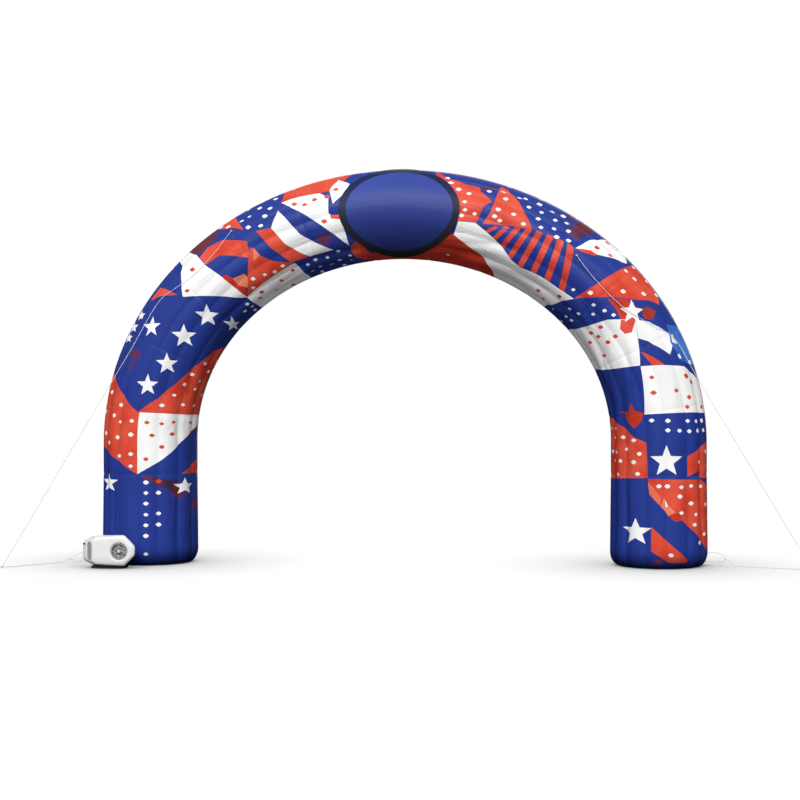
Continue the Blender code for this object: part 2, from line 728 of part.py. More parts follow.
def make_intake_guard(finish):
    """A flat guard in the intake's mouth: a rim, a middle ring and a hub plate on four spokes."""
    bands = (0.014, 0.040, 0.046, 0.072, INTAKE_RADIUS - GAP)
    spoke_turn = 7.0
    steps_between = 4
    turns = []
    is_spoke = []
    for spoke in range(4):
        start = 90.0 * spoke - spoke_turn / 2
        turns.append(start)
        is_spoke.append(True)
        for i in range(steps_between):
            turns.append(start + spoke_turn + (90.0 - spoke_turn) * i / steps_between)
            is_spoke.append(False)
    count = len(turns)
    depths = (CASE_FRONT + 0.0005, CASE_FRONT + 0.0005 + GUARD_THICK)

    def solid(band, step):
        return band in (1, 3) or is_spoke[step % count]

    bm = bmesh.new()
    verts = [
        [
            [
                bm.verts.new((
                    FAN_X + radius * math.cos(math.radians(turn)),
                    y,
                    FAN_Z + radius * math.sin(math.radians(turn)),
                ))
                for turn in turns
            ]
            for radius in bands
        ]
        for y in depths
    ]
    near, far = verts
    bm.faces.new(near[0])
    bm.faces.new(far[0])
    for band in range(4):
        for step in range(count):
            after = (step + 1) % count
            if not solid(band, step):
                continue
            for layer in verts:
                bm.faces.new((layer[band][step], layer[band + 1][step], layer[band + 1][after], layer[band][after]))
            if not solid(band, step - 1):
                bm.faces.new((near[band][step], near[band + 1][step], far[band + 1][step], far[band][step]))
            if not solid(band, step + 1):
                bm.faces.new((near[band][after], near[band + 1][after], far[band + 1][after], far[band][after]))
    for ring in range(5):
        for step in range(count):
            after = (step + 1) % count
            inside = ring == 0 or solid(ring - 1, step)
            outside = ring < 4 and solid(ring, step)
            if inside != outside:
                bm.faces.new((near[ring][step], near[ring][after], far[ring][after], far[ring][step]))
    return bmesh_object("intake_guard", bm, finish)


def make_fan_impeller(finish):
    """A back plate and hub with curved blades, bored for the motor shaft. Its origin is on the shaft's axis."""
    plate_front = FAN_BACK - 0.004
    fan = cylinder_y("fan_impeller", FAN_X, FAN_Z, FAN_RADIUS, plate_front, FAN_BACK, 28, finish)
    hub = cylinder_y("hub_form", FAN_X, FAN_Z, HUB_RADIUS, FAN_FRONT, FAN_BACK - 0.001, 16, None)
    bm = bmesh.new()
    steps = 4
    for blade in range(FAN_BLADES):
        rows = []
        for i in range(steps + 1):
            share = i / steps
            radius = HUB_RADIUS - 0.004 + (FAN_RADIUS - 0.002 - HUB_RADIUS + 0.004) * share
            turn = 2.0 * math.pi * blade / FAN_BLADES + 0.55 * share * share
            across = Vector((-math.sin(turn), 0.0, math.cos(turn))) * 0.0018
            middle = Vector((FAN_X + radius * math.cos(turn), 0.0, FAN_Z + radius * math.sin(turn)))
            front = FAN_FRONT + 0.006 + 0.006 * share
            row = [middle - across + Vector((0, front, 0)), middle + across + Vector((0, front, 0))]
            row += [middle + across + Vector((0, plate_front + 0.002, 0))]
            row += [middle - across + Vector((0, plate_front + 0.002, 0))]
            rows.append([bm.verts.new(p) for p in row])
        for a, b in zip(rows, rows[1:]):
            for j in range(4):
                k = (j + 1) % 4
                bm.faces.new((a[j], a[k], b[k], b[j]))
        bm.faces.new(rows[0])
        bm.faces.new(rows[-1])
    blades = bmesh_object("blade_forms", bm, None)
    bore = cylinder_y("bore_cut", FAN_X, FAN_Z, SHAFT_RADIUS + GAP, FAN_BACK - 0.021, FAN_BACK + 0.01, 16, None)
    add_boolean(fan, as_cutter(hub), "UNION")
    add_boolean(fan, as_cutter(blades), "UNION")
    add_boolean(fan, as_cutter(bore), "DIFFERENCE")
    axis_point = Vector((FAN_X, (FAN_FRONT + FAN_BACK) / 2, FAN_Z))
    fan.data.transform(Matrix.Translation(-axis_point))
    fan.location = axis_point
    return fan


def make_side_vent(finish):
    """A slatted oblong grille that fills the recess in the case's end."""
    vent = oblong_prism("side_vent", -GAP, -VENT_DEPTH + GAP, -0.002, finish)
    start, along, out = end_facet()
    slats = 7
    bm = bmesh.new()
    for i in range(slats):
        z = VENT_Z + (i - (slats - 1) / 2) * 0.022
        middle = start + along * VENT_ALONG + Vector((0, 0, z))
        made = bmesh.ops.create_cube(bm, size=1.0)["verts"]
        for vert in made:
            u, v, w = vert.co
            height = -0.006 if w < 0 else 0.01
            vert.co = middle + along * (u * 0.048) + Vector((0, 0, v * 0.009)) + out * height
    grooves = as_cutter(bmesh_object("vent_grooves", bm, None))
    add_boolean(vent, grooves, "DIFFERENCE")
    return vent


def make_power_switch(finish):
    start, along, out = end_facet()
    centre = start + along * 0.042 + Vector((0, 0, 0.238))
    half = (0.018, 0.0065)
    axes = (along, Vector((0, 0, 1)), out)
    return box_in_frame("power_switch", centre, axes, (-half[0], -half[1], GAP), (half[0], half[1], 0.005), finish)


def make_outlet(clearance, case_finish, cloth):
    """The outlet spigot, and the fabric sleeve that is pulled over it and sewn to the leg."""
    root = CASE_BACK + GAP
    tip = root + OUTLET_REACH
    cylinder_y("outlet_collar", OUTLET_X, OUTLET_Z, OUTLET_RADIUS, root, tip, 28, case_finish)
    sleeve = cylinder_y("air_sleeve", OUTLET_X, OUTLET_Z, SLEEVE_RADIUS, root + 0.010, 0.0, 28, cloth)
    bore = cylinder_y("sleeve_bore", OUTLET_X, OUTLET_Z, OUTLET_RADIUS + GAP, root - 0.02, tip + GAP, 28, None)
    add_boolean(sleeve, as_cutter(bore), "DIFFERENCE")
    add_boolean(sleeve, clearance, "DIFFERENCE")


def make_blower(clearance):
    white = material("case_plastic", CASE_WHITE, 0.40)
    grey = material("grille_plastic", GRILLE_GREY, 0.55)
    black = material("tray_plastic", TRAY_BLACK, 0.60)
    cloth = material("sleeve_cloth", BLUE, 0.45)
    make_blower_housing(white)
    make_blower_base(black)
    make_intake_guard(grey)
    make_fan_impeller(grey)
    make_side_vent(grey)
    make_power_switch(black)
    inlet_root = CASE_BACK + GAP
    cylinder_y("cable_inlet", CASE_LEFT + 0.110, 0.105, 0.011, inlet_root, inlet_root + 0.016, 16, black)
    make_outlet(clearance, grey, cloth)


def main():
    clear_scene()
    make_arch_tube()
    clearance = make_clearance()
    make_oval_panel()
    make_oval_border()
    make_rigging(clearance)
    make_blower(clearance)


main()
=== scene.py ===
"""Looks of the inflatable event arch: its printed cloth, name panel, ropes, knots and blower, in a pale studio.

Metres, +Z up. A place on the tube is (along, around): the length from the left foot along its centreline, and the
angle round it in degrees, from the front towards the outside of the arch.
"""

import math
import random
from collections import namedtuple

import bmesh
import bpy
import numpy as np
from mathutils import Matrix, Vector
from mathutils.geometry import delaunay_2d_cdt


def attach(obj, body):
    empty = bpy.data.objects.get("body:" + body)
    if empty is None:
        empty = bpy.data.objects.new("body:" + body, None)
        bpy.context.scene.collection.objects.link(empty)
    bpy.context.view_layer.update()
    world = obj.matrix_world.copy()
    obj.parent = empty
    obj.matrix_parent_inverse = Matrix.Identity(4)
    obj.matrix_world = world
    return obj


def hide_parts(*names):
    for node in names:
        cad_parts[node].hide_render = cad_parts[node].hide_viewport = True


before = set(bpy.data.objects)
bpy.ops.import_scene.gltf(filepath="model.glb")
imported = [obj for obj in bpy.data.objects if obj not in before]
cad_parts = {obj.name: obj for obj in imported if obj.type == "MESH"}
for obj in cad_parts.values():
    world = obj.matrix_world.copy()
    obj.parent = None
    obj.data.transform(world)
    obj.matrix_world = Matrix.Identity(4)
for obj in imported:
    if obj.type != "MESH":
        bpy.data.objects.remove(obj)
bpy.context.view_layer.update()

# The tube's centreline: two straight legs, and half an ellipse over them.
HALF_SPAN = 2.570
STRAIGHT = 1.230
RISE = 2.290
PLANE_Y = 0.145
LEG_RADIUS = 0.477
CROWN_RADIUS = 0.452
FOOT_SPREAD = 0.010
FOOT_SPREAD_HEIGHT = 0.900
BASE_ROUND = 0.095
BASE_RISE = 0.140

# Gores, their stitched valleys, and the cross seams.
GORES = 14
GORE_PHASE = 4.0
GORE_DEPTH = 0.015
FIRST_SEAM = 0.910
SEAM_COUNT = 14
SEAM_PINCH = 0.0025
SEAM_REACH = 0.035

# Oval name panel on the crown's front.
PANEL_HALF_WIDTH = 0.595
PANEL_REACH = 78.0
PANEL_SHARE = 0.885
PANEL_LIFT = 0.0014
PANEL_THICK = 0.0015
PANEL_RINGS, PANEL_TURNS = 26, 96
BORDER_RINGS, BORDER_TURNS = 9, 128
# The panel's inmost ring, as a share of the oval's size.
PANEL_MIDDLE = 0.02
# The flat oval's share of the rectangle round it.
PANEL_EDGE_GAP = 0.0015
BORDER_LIFT = 0.0019
# The arcs round the tube between which a painted shade darkens the panel and its border towards their lower edge.
PAINTED_SHADE_TOP = 0.30
PAINTED_SHADE_FOOT = -0.25

GAP = 0.0003
# Points of a mesh that are closer than this are made one.
WELD = 1e-5

# Guy ropes and base lines.
GUY_RADIUS = 0.0025
TETHER_RADIUS = 0.0025
ROPE_LIFT = 0.0030
GUY_KNOT_RADIUS = 0.011
ANCHOR_KNOT_RADIUS = 0.014
BRIDLE_KNOT_RADIUS = 0.009
GUY_STRAND = 0.0027
ANCHOR_STRAND = 0.0034
BRIDLE_STRAND = 0.0022
# A knot's winding: how far out it runs and how far it swings, as shares of its room, and its depth for that swing.
KNOT_SHARES = (0.62, 0.38)
KNOT_DEPTH = 1.7
KNOT_POINTS = 72
LOOP_POINTS = 40
GUY_POINTS = 56
LINE_POINTS = 26
ARM_POINTS = 14
# Where a fork's arm runs straight, as lengths from the tip of its tab.
ARM_APPROACH = (0.024, 0.012, 2 * GAP)
LOOP_RADIUS = 0.022
LOOP_BITE = 0.007
TAB_LENGTH = 0.060
TAB_WIDTH = 0.044
TAB_THICK = 0.004
BASE_TAB_REACH = 0.059
BASE_TAB_WIDTH = 0.040
BASE_TAB_THICK = 0.005
# How deep in the leg a base tab starts, how much it narrows towards its tip, and how thin it is before its eye.
BASE_TAB_ROOT = 0.060
BASE_TAB_NARROWING = 0.35
BASE_TAB_THIN = 0.55

Guy = namedtuple("Guy", "side route anchor")
GUYS = (
    Guy(
        side="left",
        route=((3.45, 39), (3.31, 31), (3.15, 25), (2.98, 23), (2.82, 26), (2.69, 32), (2.57, 38)),
        anchor=(-3.885, -0.570),
    ),
    Guy(
        side="right",
        route=((6.84, 13), (6.99, 8), (7.16, 5), (7.34, 5), (7.52, 9), (7.68, 18), (7.82, 31), (7.95, 46)),
        anchor=(4.000, -0.250),
    ),
)
Tether = namedtuple("Tether", "side sign line fork upper lower")
TETHERS = (
    Tether(
        side="left",
        sign=-1,
        line=((-3.83, -0.50), (-3.76, -0.41), (-3.68, -0.31), (-3.60, -0.215), (-3.52, -0.13), (-3.45, -0.065)),
        fork=(-3.372, 0.000, 0.033),
        upper=((-3.340, 0.016, 0.064), (-3.280, 0.048, 0.088), (-3.195, 0.096, 0.108)),
        lower=((-3.330, 0.024, 0.016), (-3.270, 0.060, 0.007), (-3.190, 0.104, 0.016)),
    ),
    Tether(
        side="right",
        sign=1,
        line=((3.93, -0.215), (3.83, -0.17), (3.71, -0.12), (3.58, -0.07), (3.46, -0.02), (3.35, 0.025)),
        fork=(3.225, 0.070, 0.070),
        upper=((3.205, 0.084, 0.098), (3.172, 0.108, 0.120)),
        lower=((3.202, 0.086, 0.046), (3.168, 0.112, 0.036)),
    ),
)
BASE_TAB_HEIGHTS = {"upper": 0.128, "lower": 0.038}

# Blower.
CASE_BACK = -0.375
FAN_X = -2.712
FAN_Z = 0.173
# How far the painted highlight at the fan's middle reaches.
HUB_HIGHLIGHT_REACH = 0.015
OUTLET_X = -2.800
OUTLET_Z = 0.172
SLEEVE_RADIUS = 0.078

# The camera that the photograph was taken with: level, 16 m off, a little to the right of the arch's middle.
CAMERA_PLACE = (1.09595, -15.8164, 1.647)
CAMERA_TURN = 4.0
CAMERA_LENS = 71.28
CAMERA_SENSOR = 36.0
CAMERA_SIGHT = 200.0

# Folds that the bend draws into the cloth: middle, half length, half width in degrees, depth and lean.
Fold = namedtuple("Fold", "along around half_length half_width depth lean")
FOLDS = (
    Fold(2.55, -62, 0.50, 9, 0.012, 6),
    Fold(3.30, -68, 0.45, 9, 0.011, -5),
    Fold(4.15, -72, 0.40, 8, 0.009, 4),
    Fold(5.95, -48, 0.50, 8, 0.013, 7),
    Fold(6.35, -66, 0.50, 9, 0.014, 6),
    Fold(7.20, -58, 0.45, 8, 0.012, -6),
    Fold(7.55, -36, 0.40, 8, 0.013, -10),
    Fold(8.20, -40, 0.45, 8, 0.015, -12),
    Fold(8.35, -66, 0.45, 9, 0.012, -6),
    Fold(6.60, -118, 0.60, 10, 0.012, 5),
    Fold(3.20, -124, 0.60, 10, 0.012, -5),
)

# Lesser creases, which only the cloth's own surface has.
CREASES = (
    Fold(0.52, 53, 0.54, 4, 0.020, 1),
    Fold(0.56, 38, 0.52, 4, 0.020, -1),
    Fold(0.44, -47, 0.46, 4, 0.011, -2),
    Fold(0.40, -72, 0.40, 4, 0.010, 1),
    Fold(0.46, -20, 0.44, 3, 0.004, 1),
    Fold(1.35, 33, 0.42, 4, 0.014, -4),
    Fold(1.34, -48, 0.34, 4, 0.010, 5),
    Fold(1.95, -52, 0.40, 4, 0.009, 9),
    Fold(2.20, -34, 0.30, 4, 0.006, 10),
    Fold(2.90, -46, 0.32, 4, 0.007, -6),
    Fold(3.72, -58, 0.30, 4, 0.008, 5),
    Fold(4.45, -50, 0.34, 4, 0.007, -5),
    Fold(5.55, -64, 0.45, 5, 0.010, 6),
    Fold(5.80, -34, 0.36, 4, 0.008, 7),
    Fold(6.15, -22, 0.42, 4, 0.008, 9),
    Fold(6.62, -50, 0.38, 4, 0.009, 6),
    Fold(7.05, -74, 0.40, 5, 0.009, -4),
    Fold(7.30, -30, 0.32, 4, 0.008, -9),
    Fold(7.85, -54, 0.42, 4, 0.010, -10),
    Fold(8.05, -24, 0.40, 4, 0.009, -12),
    Fold(8.45, -52, 0.36, 4, 0.009, -8),
    Fold(8.30, 16, 0.30, 4, 0.005, -4),
    Fold(8.95, -48, 0.30, 4, 0.006, 2),
    Fold(9.62, -47, 0.50, 4, 0.018, 2),
    Fold(9.60, -68, 0.46, 4, 0.013, -1),
    Fold(9.58, 5, 0.40, 3, 0.006, 1),
    Fold(9.66, 34, 0.42, 4, 0.010, -2),
    Fold(9.30, 53, 0.50, 4, 0.009, 1),
)

# The print: each patch has a colour, its corners as (along, around), and the colour of dots scattered on it, if any.
# A later patch lies over an earlier one. OUT and IN are the seams where the front's print ends, outside and inside
# the arch.
OUT = 81.0
IN = -98.7
Patch = namedtuple("Patch", "colour corners dots", defaults=(None,))
LEFT_LEG = (
    Patch("maroon", ((0.90, -1), (0.83, -50), (0.68, -50), (0.84, -12))),
    Patch("red", ((0.91, -53), (1.04, -84), (1.04, IN), (0.91, IN))),
    Patch("red", ((0.91, 4), (1.04, 30), (1.16, 58), (1.22, OUT), (2.10, OUT), (2.60, IN), (1.50, IN))),
    Patch("white", ((0.91, 4), (1.52, 4), (1.55, -30), (1.58, -80), (1.58, IN), (1.50, IN), (1.35, -69), (1.17, -45),
        (1.04, -24))),
    Patch("navy", ((1.52, 6), (1.70, -16), (1.89, -31), (2.15, -48), (2.43, -66), (2.60, IN), (3.26, IN), (3.18, -47),
        (2.83, -4), (2.50, 70), (2.44, OUT), (1.86, OUT), (1.72, 43), (1.65, 30))),
)
LEFT_BEND = (
    Patch("red", ((2.50, 60), (2.64, 60), (2.70, 22))),
    Patch("maroon", ((3.04, 68), (3.14, OUT), (3.24, OUT), (3.35, 56), (3.27, 48), (3.15, 44), (3.07, 44))),
    Patch("red", ((3.08, 38), (3.19, 42), (3.34, 37), (3.53, 14), (3.47, -6), (3.24, 20), (3.09, 22))),
    Patch("deep", ((3.10, -2), (3.18, -6), (3.22, -18), (3.24, -36), (3.19, -48))),
    Patch("peach", ((3.20, -14), (3.33, -18), (3.33, -27), (3.27, -36), (3.20, -25))),
    Patch("white", ((3.00, OUT), (3.07, 46), (3.08, 20), (3.12, 0), (3.19, -48), (2.72, 14), (2.91, 50), (2.92, OUT))),
    Patch("red", ((3.32, 70), (3.40, OUT), (3.50, OUT), (3.53, 66), (3.55, 32))),
    Patch("navy", ((3.53, 64), (3.62, OUT), (4.06, OUT), (3.99, 50), (3.91, 35), (3.79, 14), (3.68, 16), (3.57, 28))),
    Patch("red", ((3.65, 20), (3.79, 14), (3.85, -12), (3.95, -29), (4.04, -40), (3.82, -37), (3.70, -8))),
    Patch("white", ((3.91, 34), (3.98, 8), (4.03, -8), (4.14, -24), (4.31, -42), (4.04, -40), (3.95, -29), (3.85, -12),
        (3.79, 14))),
    Patch("white", ((3.96, 44), (4.06, 44), (4.32, 38), (4.39, 28), (4.36, 6), (4.47, -5), (4.49, -41), (4.32, -15),
        (4.21, 2), (4.07, 24))),
    Patch("red", ((4.04, OUT), (4.80, OUT), (4.66, 73), (4.54, 54), (4.48, 48), (4.41, 38), (4.32, 38), (4.06, 44),
        (3.96, 44))),
    Patch("red", ((4.37, 4), (4.50, 1), (4.50, -6), (4.37, -1))),
    Patch("red", ((4.50, -43), (4.60, -34), (4.67, -54), (4.75, -70), (4.62, -78), (4.49, -64))),
    Patch("white", ((4.50, 60), (4.60, 43), (4.55, 30), (4.42, 17), (4.41, 38))),
    Patch("red", ((3.53, 6), (3.57, -10), (3.65, -24), (3.85, -40), (3.19, -46))),
    Patch("peach", ((3.55, 3), (3.57, -9), (3.48, -12))),
    Patch("white", ((3.85, -40), (3.95, -74), (3.95, IN), (3.23, IN), (3.18, -46))),
    Patch("navy", ((3.86, -40), (4.03, -41), (4.31, -43), (4.48, -44), (4.60, IN), (3.95, IN)), "white"),
)
# Under the name panel on the front; the back shows it.
CROWN = (
    Patch("red", ((4.62, 0), (5.05, -52), (5.48, 0), (5.05, 52)), "white"),
    Patch("navy", ((4.80, 0), (5.05, -30), (5.30, 0), (5.05, 30))),
)
RIGHT_TOP = (
    Patch("red", ((5.36, 68), (5.48, 55), (5.64, 46), (5.79, 46), (5.78, 39), (5.92, 29), (5.85, 18), (5.84, 5),
        (5.83, -4), (5.65, -8), (5.40, -10))),
    Patch("maroon", ((5.76, 46), (5.93, 58), (5.92, 52), (5.79, 42))),
    Patch("red", ((5.94, 62), (6.01, 60), (6.15, 40), (6.36, 12), (6.17, 6), (5.89, -4), (5.93, 13))),
)
RIGHT_BEND = (
    Patch("deep", ((4.66, -68), (5.05, -30), (5.63, -26), (5.79, -36), (5.91, -42), (6.01, -50), (6.12, -62),
        (6.27, -80), (6.27, IN), (4.66, IN))),
    Patch("white", ((5.65, -8), (5.82, -5), (6.05, -17), (6.19, -26), (6.30, -34), (6.42, -38), (6.66, -34),
        (6.91, -33), (7.10, -30), (7.03, -42), (6.90, -78), (6.90, IN), (6.24, IN), (6.12, -62), (6.01, -50),
        (5.91, -42), (5.79, -36), (5.63, -26))),
    Patch("red", ((6.27, -86), (6.90, -84), (6.90, IN), (6.27, IN))),
    Patch("maroon", ((6.66, 54), (6.72, OUT), (6.80, OUT), (6.84, 62), (6.78, 40), (6.74, 30))),
    Patch("white", ((6.79, 20), (6.85, 44), (6.92, 62), (7.00, OUT), (7.12, OUT), (7.22, 60), (7.06, 40), (6.97, 32))),
    Patch("red", ((6.79, 20), (6.91, 32), (6.98, 33), (6.97, 29), (6.87, 22))),
    Patch("red", ((7.10, -30), (7.17, 8), (7.25, 62), (7.28, OUT), (7.50, OUT), (7.66, 59), (7.50, 26))),
    Patch("navy", ((6.90, IN), (7.10, -30), (7.36, 2), (7.58, -4), (7.48, -20), (7.35, -43), (7.26, IN)), "white"),
    Patch("deep", ((7.34, 0), (7.46, 20), (7.56, 22), (7.66, 12), (7.58, -3), (7.48, 0))),
    Patch("rust", ((7.61, 26), (7.62, 36), (7.69, 43), (7.74, 31), (7.69, 22))),
    Patch("white", ((7.26, IN), (7.50, -16), (7.66, 12), (7.83, 2), (8.07, -9), (7.87, IN))),
    Patch("white", ((7.66, 12), (7.74, 26), (7.84, 36), (7.96, 47), (8.08, 32), (7.99, 20), (7.89, 12), (7.82, 3))),
    Patch("red", ((7.58, -3), (7.66, 12), (7.74, 0), (7.72, -8), (7.65, -10))),
    Patch("navy", ((7.83, 3), (7.94, 16), (8.08, 32), (8.22, 46), (8.07, -9))),
    Patch("red", ((7.95, -2), (7.99, 4), (8.16, 20), (8.12, 5))),
    Patch("light", ((7.83, 48), (7.90, 72), (7.92, OUT), (8.26, OUT), (8.17, 44), (7.99, 39))),
    Patch("white", ((7.93, 45), (7.93, 50), (7.97, 49), (8.00, 53), (8.02, 48), (7.99, 42))),
    Patch("white", ((8.11, 41), (8.10, 45), (8.14, 47), (8.15, 43))),
    Patch("white", ((8.18, 60), (8.19, 66), (8.22, 64), (8.21, 59))),
)
RIGHT_LEG = (
    Patch("navy", ((7.87, IN), (8.07, -9), (8.57, -20), (8.87, -20), (8.84, -28), (8.65, -56), (8.51, IN))),
    Patch("deep", ((8.42, -34), (8.52, -31), (8.55, -21), (8.63, -24), (8.71, -34), (8.62, -44), (8.53, -47),
        (8.50, -56), (8.52, -40))),
    Patch("red", ((8.47, IN), (8.69, -50), (8.80, -37), (8.87, -20), (9.21, -18), (9.24, IN)), "white"),
    Patch("white", ((8.08, -9), (8.22, 46), (8.30, 60), (8.42, OUT), (8.64, OUT), (8.57, -20))),
    Patch("red", ((9.00, 31), (8.93, 50), (8.82, OUT), (9.23, OUT), (9.20, 31))),
    Patch("navy", ((9.20, 31), (9.14, 50), (9.21, 54))),
    Patch("red", ((9.22, -18), (9.23, 54), (9.33, OUT), (9.95, OUT), (9.92, 66), (9.82, 52), (9.71, 36), (9.62, 22),
        (9.63, 14), (9.57, 6), (9.45, -6), (9.37, -16))),
    Patch("orange", ((9.25, -18), (9.29, -13), (9.40, -3), (9.48, -3), (9.46, -6), (9.37, -16))),
    Patch("peach", ((9.40, 1), (9.48, 6), (9.54, 14), (9.58, 6), (9.53, 2), (9.49, -3))),
    Patch("white", ((9.42, 2), (9.48, 6), (9.50, 3))),
    Patch("deep", ((9.57, 7), (9.55, 16), (9.57, 23), (9.63, 19), (9.61, 10))),
    Patch("red", ((9.68, -14), (9.79, 0), (9.90, 15), (10.01, 31), (10.04, 30), (10.03, 6), (9.92, -14))),
)

# Stripes that fan out. Each key stripe has the place of its upper and its lower end, and the rest lie between them.
Fan = namedtuple("Fan", "colour first middle last count width")
FAN = Fan(
    colour="red",
    first=((6.03, -2), (5.93, -15)),
    middle=((6.38, 13), (6.34, -36)),
    last=((6.74, 20), (6.95, -36)),
    count=8,
    width=0.062,
)
# A stripe's width at the first one, and how much wider the last one is.
STRIPE_WIDTHS = (0.72, 0.46)
PRINT = LEFT_LEG + LEFT_BEND + CROWN + RIGHT_TOP + (FAN,) + (
    Patch("navy", ((6.01, 60), (6.07, OUT), (6.60, OUT), (6.66, 54), (6.77, 22), (6.36, 13))),
) + RIGHT_BEND + RIGHT_LEG

# Soft rust-red smears in the blue: middle, and half its length and half its arc in metres.
Smear = namedtuple("Smear", "along around half_length half_arc")
SMEARS = (
    Smear(2.03, 31, 0.080, 0.100),
    Smear(1.92, 30, 0.080, 0.035),
    Smear(0.72, -50, 0.080, 0.130),
    Smear(0.60, -80, 0.130, 0.075),
    Smear(4.25, -24, 0.120, 0.100),
    Smear(6.70, 42, 0.090, 0.110),
    Smear(6.62, 70, 0.100, 0.120),
    Smear(10.02, -6, 0.045, 0.075),
)

# White stars that stand upright in the picture.
Star = namedtuple("Star", "along around radius")
STARS = (
    Star(0.82, 49, 0.098),
    Star(0.78, -58, 0.088),
    Star(1.80, 1, 0.112),
    Star(2.07, -13, 0.112),
    Star(2.41, -16, 0.126),
    Star(2.73, -25, 0.120),
    Star(2.32, 27, 0.100),
    Star(2.83, -64, 0.090),
    Star(2.35, 60, 0.050),
    Star(2.23, 63, 0.058),
    Star(2.13, 62, 0.050),
    Star(5.05, 0, 0.170),
    Star(7.58, 14, 0.120),
    Star(9.05, 4, 0.160),
    Star(9.74, -33, 0.138),
)

# The radius of a star's inner corners, as a share of its points'.
STAR_INNER = 0.42

# Dots placed one by one, as (along, around).
DotGroup = namedtuple("DotGroup", "colour places")
DOTS = (
    DotGroup("white", ((0.83, -7), (0.725, -7), (0.62, -7), (0.51, -7), (0.405, -7), (0.30, -7), (0.12, -7),
        (0.725, -22), (0.52, -22), (0.41, -22))),
    DotGroup("red", ((0.84, -22),)),
    DotGroup("white", ((1.43, 12), (1.30, 12), (1.11, 12), (0.99, 12), (1.41, 30), (1.27, 33), (1.09, 29), (1.46, 40),
        (1.56, 32), (1.65, 58), (1.30, 60), (1.48, 66), (1.78, 74), (1.22, 48), (1.63, -22), (1.77, -34), (1.92, -44),
        (2.06, -50), (2.24, -62), (2.01, -66), (1.90, -62), (1.68, -50), (1.69, -70), (2.16, -78), (1.84, -84),
        (2.32, -86))),
    DotGroup("red", ((1.43, -7), (1.43, -25), (1.46, -40), (1.47, -68), (1.30, -14), (1.32, -39), (1.18, -26),
        (1.06, -7), (2.96, 32), (2.79, 15), (2.63, 48))),
    DotGroup("white", ((3.13, -55), (3.15, -66), (3.05, -62), (3.14, -78), (3.44, 56), (3.38, 66), (3.57, 48),
        (3.60, 32), (3.65, 48), (3.71, 24), (3.76, 57), (3.78, 35), (3.85, 43), (3.92, 61), (3.66, 68), (3.80, 72),
        (3.96, 74))),
    DotGroup("red", ((4.07, 34), (4.16, 28), (4.26, 31), (4.38, 30), (4.30, -2), (4.47, 38))),
    DotGroup("white", ((3.37, -30), (3.31, -40), (3.61, -38), (3.72, -36), (3.50, -34))),
    DotGroup("red", ((3.79, -50), (3.62, -56), (3.35, -54), (3.29, -62), (3.50, -70), (3.70, -80))),
    DotGroup("white", ((5.51, 44), (5.59, 35), (5.69, 32), (5.67, 18), (5.69, 8), (5.67, 0), (5.79, 6), (5.47, 56),
        (5.98, 52), (6.02, 39), (5.99, 20), (5.98, 10), (6.04, 7), (6.14, 21), (6.26, 14), (5.86, 43), (6.13, 51),
        (6.18, 56), (6.24, 40), (6.31, 57), (6.36, 41), (6.36, 30), (6.44, 54), (6.54, 58), (6.50, 40), (6.42, 20),
        (6.53, 28), (6.60, 46), (6.65, 36), (6.59, 19), (6.70, 24), (6.30, 72), (5.60, -60), (7.03, -22))),
    DotGroup("red", ((6.73, -56), (6.96, -42), (6.83, -64), (6.94, 41), (7.07, 46), (6.98, 66))),
    DotGroup("white", ((7.18, -10), (7.38, 21), (7.51, 43), (7.36, 48), (7.26, 46), (7.28, 66), (7.44, 68),
        (7.58, 66))),
    DotGroup("red", ((7.52, -29), (7.51, -46), (7.59, -40), (7.59, -56), (7.70, -32), (7.69, -20), (7.81, -48),
        (8.22, -1), (8.37, -4), (8.40, 24), (8.30, 44), (8.36, 52), (8.48, 40), (8.56, 35), (8.58, 64))),
    DotGroup("white", ((8.64, -12), (8.66, 7), (8.68, 33), (8.69, 46), (8.69, 60), (8.75, 6), (8.76, 20), (8.77, 34),
        (8.77, 48), (8.77, 62), (9.06, 52), (9.10, 72), (8.96, 68), (9.29, -5), (9.29, 5), (9.30, 22), (9.29, 36),
        (9.30, 56), (9.39, 20), (9.46, 36), (9.55, 22), (9.57, 43), (9.67, 41), (9.77, 62), (9.48, 66), (9.62, 72),
        (9.96, 9), (9.85, 51))),
)
DOT_RADIUS = 0.0255
DOT_FLATNESS = 0.76
RED_DOT_SHARE = 1.12
# A dot is drawn out to four sides by this share of its radius.
DOT_SQUARENESS = 0.10
PLACED_SIZES = (0.84, 1.1)
# Dots scattered on a patch: how far apart, and as shares of that, how far apart their rows are and how far out of line
# they are at most. They keep clear of the patch's edge by a share of their radius.
DOT_PITCH = 0.140
DOT_ROWS = 0.87
DOT_SHIFT = 0.22
DOT_CLEARANCE = 0.8
SCATTERED_SIZES = (0.80, 1.1)
PRINT_SEED = 7

COLOURS = {
    "navy": (0.016, 0.038, 0.250, 1.0),
    "red": (0.690, 0.088, 0.048, 1.0),
    "deep": (0.560, 0.040, 0.018, 1.0),
    "white": (0.860, 0.860, 0.860, 1.0),
    "rust": (0.270, 0.028, 0.024, 1.0),
    "maroon": (0.165, 0.026, 0.028, 1.0),
    "orange": (0.740, 0.150, 0.070, 1.0),
    "peach": (0.720, 0.250, 0.150, 1.0),
    "light": (0.070, 0.210, 0.600, 1.0),
}
ROYAL_BLUE = (0.034, 0.060, 0.290, 1.0)
# The colour that the panel's painted shade darkens it to at its lower edge.
PANEL_PAINTED_SHADE_BLUE = (0.019, 0.034, 0.185, 1.0)
BORDER_BLUE = (0.010, 0.017, 0.060, 1.0)
RUST = (0.150, 0.022, 0.014, 1.0)
